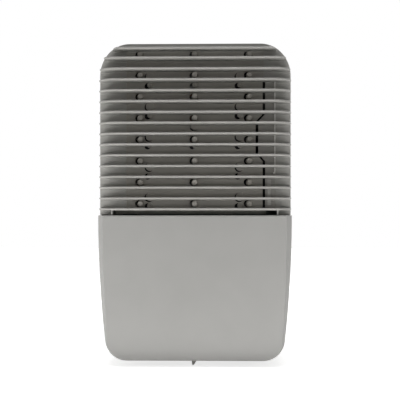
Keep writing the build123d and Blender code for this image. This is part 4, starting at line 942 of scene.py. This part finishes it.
# %% Metals
def worked_metal(name, tone_a, tone_b, roughness, patch_mm, stretch=(1, 1, 1), deep=0.02):
    """Bare metal: two near tones in patches that may be stretched along the working direction."""
    material, tree, place = new_finish(name)
    along = add(tree, "Mapping", {"Vector": place, "Scale": stretch})
    patch = add(
        tree,
        "TexNoise",
        {"Vector": along.outputs["Vector"], "Scale": 1000 / patch_mm, "Detail": 4.0},
    )
    tone = add(tree, "ValToRGB", {"Fac": patch.outputs["Fac"]})
    tone.color_ramp.elements[0].position, tone.color_ramp.elements[1].position = 0.35, 0.65
    tone.color_ramp.elements[0].color = linear(tone_a)
    tone.color_ramp.elements[1].color = linear(tone_b)
    gloss = add(
        tree,
        "MapRange",
        {"Value": patch.outputs["Fac"], "To Min": roughness - 0.08, "To Max": roughness + 0.08},
    )
    bump = add(
        tree, "Bump", {"Height": patch.outputs["Fac"], "Strength": 0.3, "Distance": deep / 1000}
    )
    skin = add(
        tree,
        "BsdfPrincipled",
        {
            "Base Color": tone.outputs["Color"],
            "Metallic": 1.0,
            "Roughness": gloss.outputs["Result"],
            "Normal": bump.outputs["Normal"],
        },
    )
    add(tree, "OutputMaterial", {"Surface": skin.outputs[0]})
    return material


copper_drawn = worked_metal("copper_drawn_tarnished", "#a9673f", "#c98a62", 0.36, 9.0)
aluminium_rolled = worked_metal("aluminium_rolled_fins", "#b4b7ba", "#c6c9cb", 0.34, 6.0, (1, 1, 0.1))
zinc_plated = worked_metal("steel_zinc_plated", "#9fa3a6", "#b9bcbe", 0.38, 4.0)
print("metals", copper_drawn.name, aluminium_rolled.name, zinc_plated.name)


# %% [markdown]
# ## Paint, rubber and circuit board
# The compressor is sprayed with black enamel, which dries with a slow ripple that painters call orange
# peel. Cured rubber is dull and finely uneven, and a circuit board has a thin glossy green coat. They
# share one function, because each is a coat whose ripple, gloss and two near tones differ.


# %% Coated surfaces
def coated(name, tone_a, tone_b, roughness, coat, peel_mm=2.5, deep=0.06):
    """Sprayed enamel or cured rubber: near tones and the slow ripple called orange peel."""
    material, tree, place = new_finish(name)
    peel = add(tree, "TexNoise", {"Vector": place, "Scale": 1000 / peel_mm, "Detail": 1.5})
    tone = add(tree, "ValToRGB", {"Fac": peel.outputs["Fac"]})
    tone.color_ramp.elements[0].color = linear(tone_a)
    tone.color_ramp.elements[1].color = linear(tone_b)
    bump = add(
        tree, "Bump", {"Height": peel.outputs["Fac"], "Strength": 0.3, "Distance": deep / 1000}
    )
    skin = add(
        tree,
        "BsdfPrincipled",
        {
            "Base Color": tone.outputs["Color"],
            "Roughness": roughness,
            "Coat Weight": coat,
            "Normal": bump.outputs["Normal"],
        },
    )
    add(tree, "OutputMaterial", {"Surface": skin.outputs[0]})
    return material


black_enamel = coated("enamel_sprayed_black", "#151516", "#1c1c1e", 0.3, 0.4)
rubber_feet = coated("rubber_cured_black", "#222221", "#2b2b2a", 0.75, 0.0, 1.2, 0.08)
rubber_cap = coated("rubber_cured_grey", "#4c4c4a", "#555553", 0.7, 0.0, 1.2, 0.06)
board_resist = coated("circuit_board_green", "#14502f", "#1b5e39", 0.32, 0.3, 5.0, 0.02)

print("coats", black_enamel.name, rubber_feet.name, rubber_cap.name, board_resist.name)

# %% [markdown]
# ## Bucket plastic
# The bucket is moulded from polypropylene, which is milky: light goes in and comes out softened, and the
# bucket looks whitish grey. Subsurface scattering over 4 mm gives that, with nearly the same reach for
# all colours, because the plastic has none of its own.

# %% Milky polypropylene
polypropylene, tree, place = new_finish("polypropylene_milky")
cloud = add(tree, "TexNoise", {"Vector": place, "Scale": 1000 / 40.0, "Detail": 3.0})
milky = add(tree, "ValToRGB", {"Fac": cloud.outputs["Fac"]})
milky.color_ramp.elements[0].color = linear("#c3c8c9")
milky.color_ramp.elements[1].color = linear("#d2d6d6")
skin = add(
    tree,
    "BsdfPrincipled",
    {
        "Base Color": milky.outputs["Color"],
        "Roughness": 0.34,
        "IOR": 1.49,
        "Subsurface Weight": 0.4,
        "Subsurface Scale": 0.004,
        "Subsurface Radius": (1.0, 0.95, 0.9),
        "Transmission Weight": 0.12,
    },
)
add(tree, "OutputMaterial", {"Surface": skin.outputs[0]})

print("bucket plastic", polypropylene.name)

# %% [markdown]
# ## Filter net
# The filter is a net of polyamide threads about 1.2 mm apart. Real threads would need many thousands of
# faces, so two wave patterns are crossed and the gaps between them are made see-through. The bands of a
# wave texture lie 2 pi / (20 scale) apart, from which its scale follows.

# %% Woven net
net, tree, place = new_finish("polyamide_woven_net")
thread_mm = 1.2
spread = 2 * np.pi / 20 * 1000 / thread_mm
warp = add(tree, "TexWave", {"Vector": place, "Scale": spread}, bands_direction="X")
weft = add(tree, "TexWave", {"Vector": place, "Scale": spread}, bands_direction="Z")
thread = add(tree, "Math", {0: warp.outputs["Fac"], 1: weft.outputs["Fac"]}, operation="MAXIMUM")
open_net = add(tree, "MapRange", {"Value": thread.outputs[0], "From Min": 0.55, "From Max": 0.7})
tone = add(tree, "ValToRGB", {"Fac": thread.outputs[0]})
tone.color_ramp.elements[0].color = linear("#2a2b2c")
tone.color_ramp.elements[1].color = linear("#4a4b4c")
bump = add(tree, "Bump", {"Height": thread.outputs[0], "Strength": 0.6, "Distance": 0.0003})
skin = add(
    tree,
    "BsdfPrincipled",
    {
        "Base Color": tone.outputs["Color"],
        "Roughness": 0.55,
        "Alpha": open_net.outputs["Result"],
        "Normal": bump.outputs["Normal"],
    },
)
add(tree, "OutputMaterial", {"Surface": skin.outputs[0]})

print("filter net", net.name, "with a thread every", thread_mm, "mm")

# %% [markdown]
# ## Display window
# The window over the display is smoked acrylic: polished, and dark until something behind it lights up.
# To the eye that is a near black with a sharp reflection, which a thin clear coat over a dark base gives.

# %% Smoked acrylic
acrylic, tree, place = new_finish("acrylic_polished_smoked")
haze = add(tree, "TexNoise", {"Vector": place, "Scale": 1000 / 15.0, "Detail": 2.0})
smoke = add(tree, "ValToRGB", {"Fac": haze.outputs["Fac"]})
smoke.color_ramp.elements[0].color = linear("#1a1c1e")
smoke.color_ramp.elements[1].color = linear("#202326")
gloss = add(tree, "MapRange", {"Value": haze.outputs["Fac"], "To Min": 0.05, "To Max": 0.11})
skin = add(
    tree,
    "BsdfPrincipled",
    {
        "Base Color": smoke.outputs["Color"],
        "Roughness": gloss.outputs["Result"],
        "IOR": 1.49,
        "Coat Weight": 0.6,
    },
)
add(tree, "OutputMaterial", {"Surface": skin.outputs[0]})

print("display window", acrylic.name)

# %% [markdown]
# ## A finish for every part
# Each solid carries the name of its material slot, so one table from slot to finish dresses them all.
# Those that people touch or see when the machine is open, and the round ones, first get a copy with
# broken or smooth edges, as the shell did. The five keys get the roundest edges, for the finger.

# %% Table of finishes, and the smaller parts
finish_of = {
    "shell_grey": abs_shell,
    "panel_grey": abs_panel,
    "filter_plastic": abs_inner,
    "filter_mesh": net,
    "inner_plastic": abs_inner,
    "tank_plastic": polypropylene,
    "float_white": foam_white,
    "black_plastic": nylon_black,
    "panel_dark": abs_controls,
    "button_grey": abs_button,
    "foot_rubber": rubber_feet,
    "cap_rubber": rubber_cap,
    "fin_aluminium": aluminium_rolled,
    "copper": copper_drawn,
    "zinc_steel": zinc_plated,
    "black_paint": black_enamel,
    "board_green": board_resist,
    "window_clear": acrylic,
}
# Solid, its copy's name, body, slot, and edge radius in mm.
small_parts = [
    ("feet", "rubber_feet", "cabinet", "foot_rubber", 1.5),
    ("cord_gland", "cord_bush", "cabinet", "black_plastic", 0.6),
    ("display_window", "smoked_window", "cabinet", "window_clear", 0.3),
    ("drain_port", "drain_pipe", "cabinet", "inner_plastic", 0.4),
    ("compressor", "compressor_shell", "cabinet", "black_paint", 0.0),
    ("accumulator", "accumulator_can", "cabinet", "copper", 0.0),
    ("condenser_tube", "condenser_pipe", "cabinet", "copper", 0.0),
    ("evaporator_tube", "evaporator_pipe", "cabinet", "copper", 0.0),
    ("fan_motor", "motor_can", "cabinet", "zinc_steel", 0.5),
    ("drain_cap", "drain_plug", "drain_cap", "cap_rubber", 0.6),
    ("filter_frame", "filter_bars", "filter", "filter_plastic", 0.4),
    ("water_tank", "bucket", "tank", "tank_plastic", 0.6),
    ("tank_lid", "bucket_lid", "tank", "inner_plastic", 0.4),
    ("tank_float", "float_block", "tank_float", "float_white", 1.2),
]
for node, name, body, slot, edge in small_parts:
    broken_edges(node, name, body, finish_of[slot], edge)
for key in ("power", "mode", "fan_speed", "humidity", "timer"):
    node = f"button_{key}"
    broken_edges(node, f"key_{key}", node, abs_button, 1.0, steps=4)

# %% Finish for every solid
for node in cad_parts.values():
    for place in node.material_slots:
        if place.material:
            place.material = finish_of[place.material.name.split(".")[0]]
print(len(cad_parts), "solids have their finish")
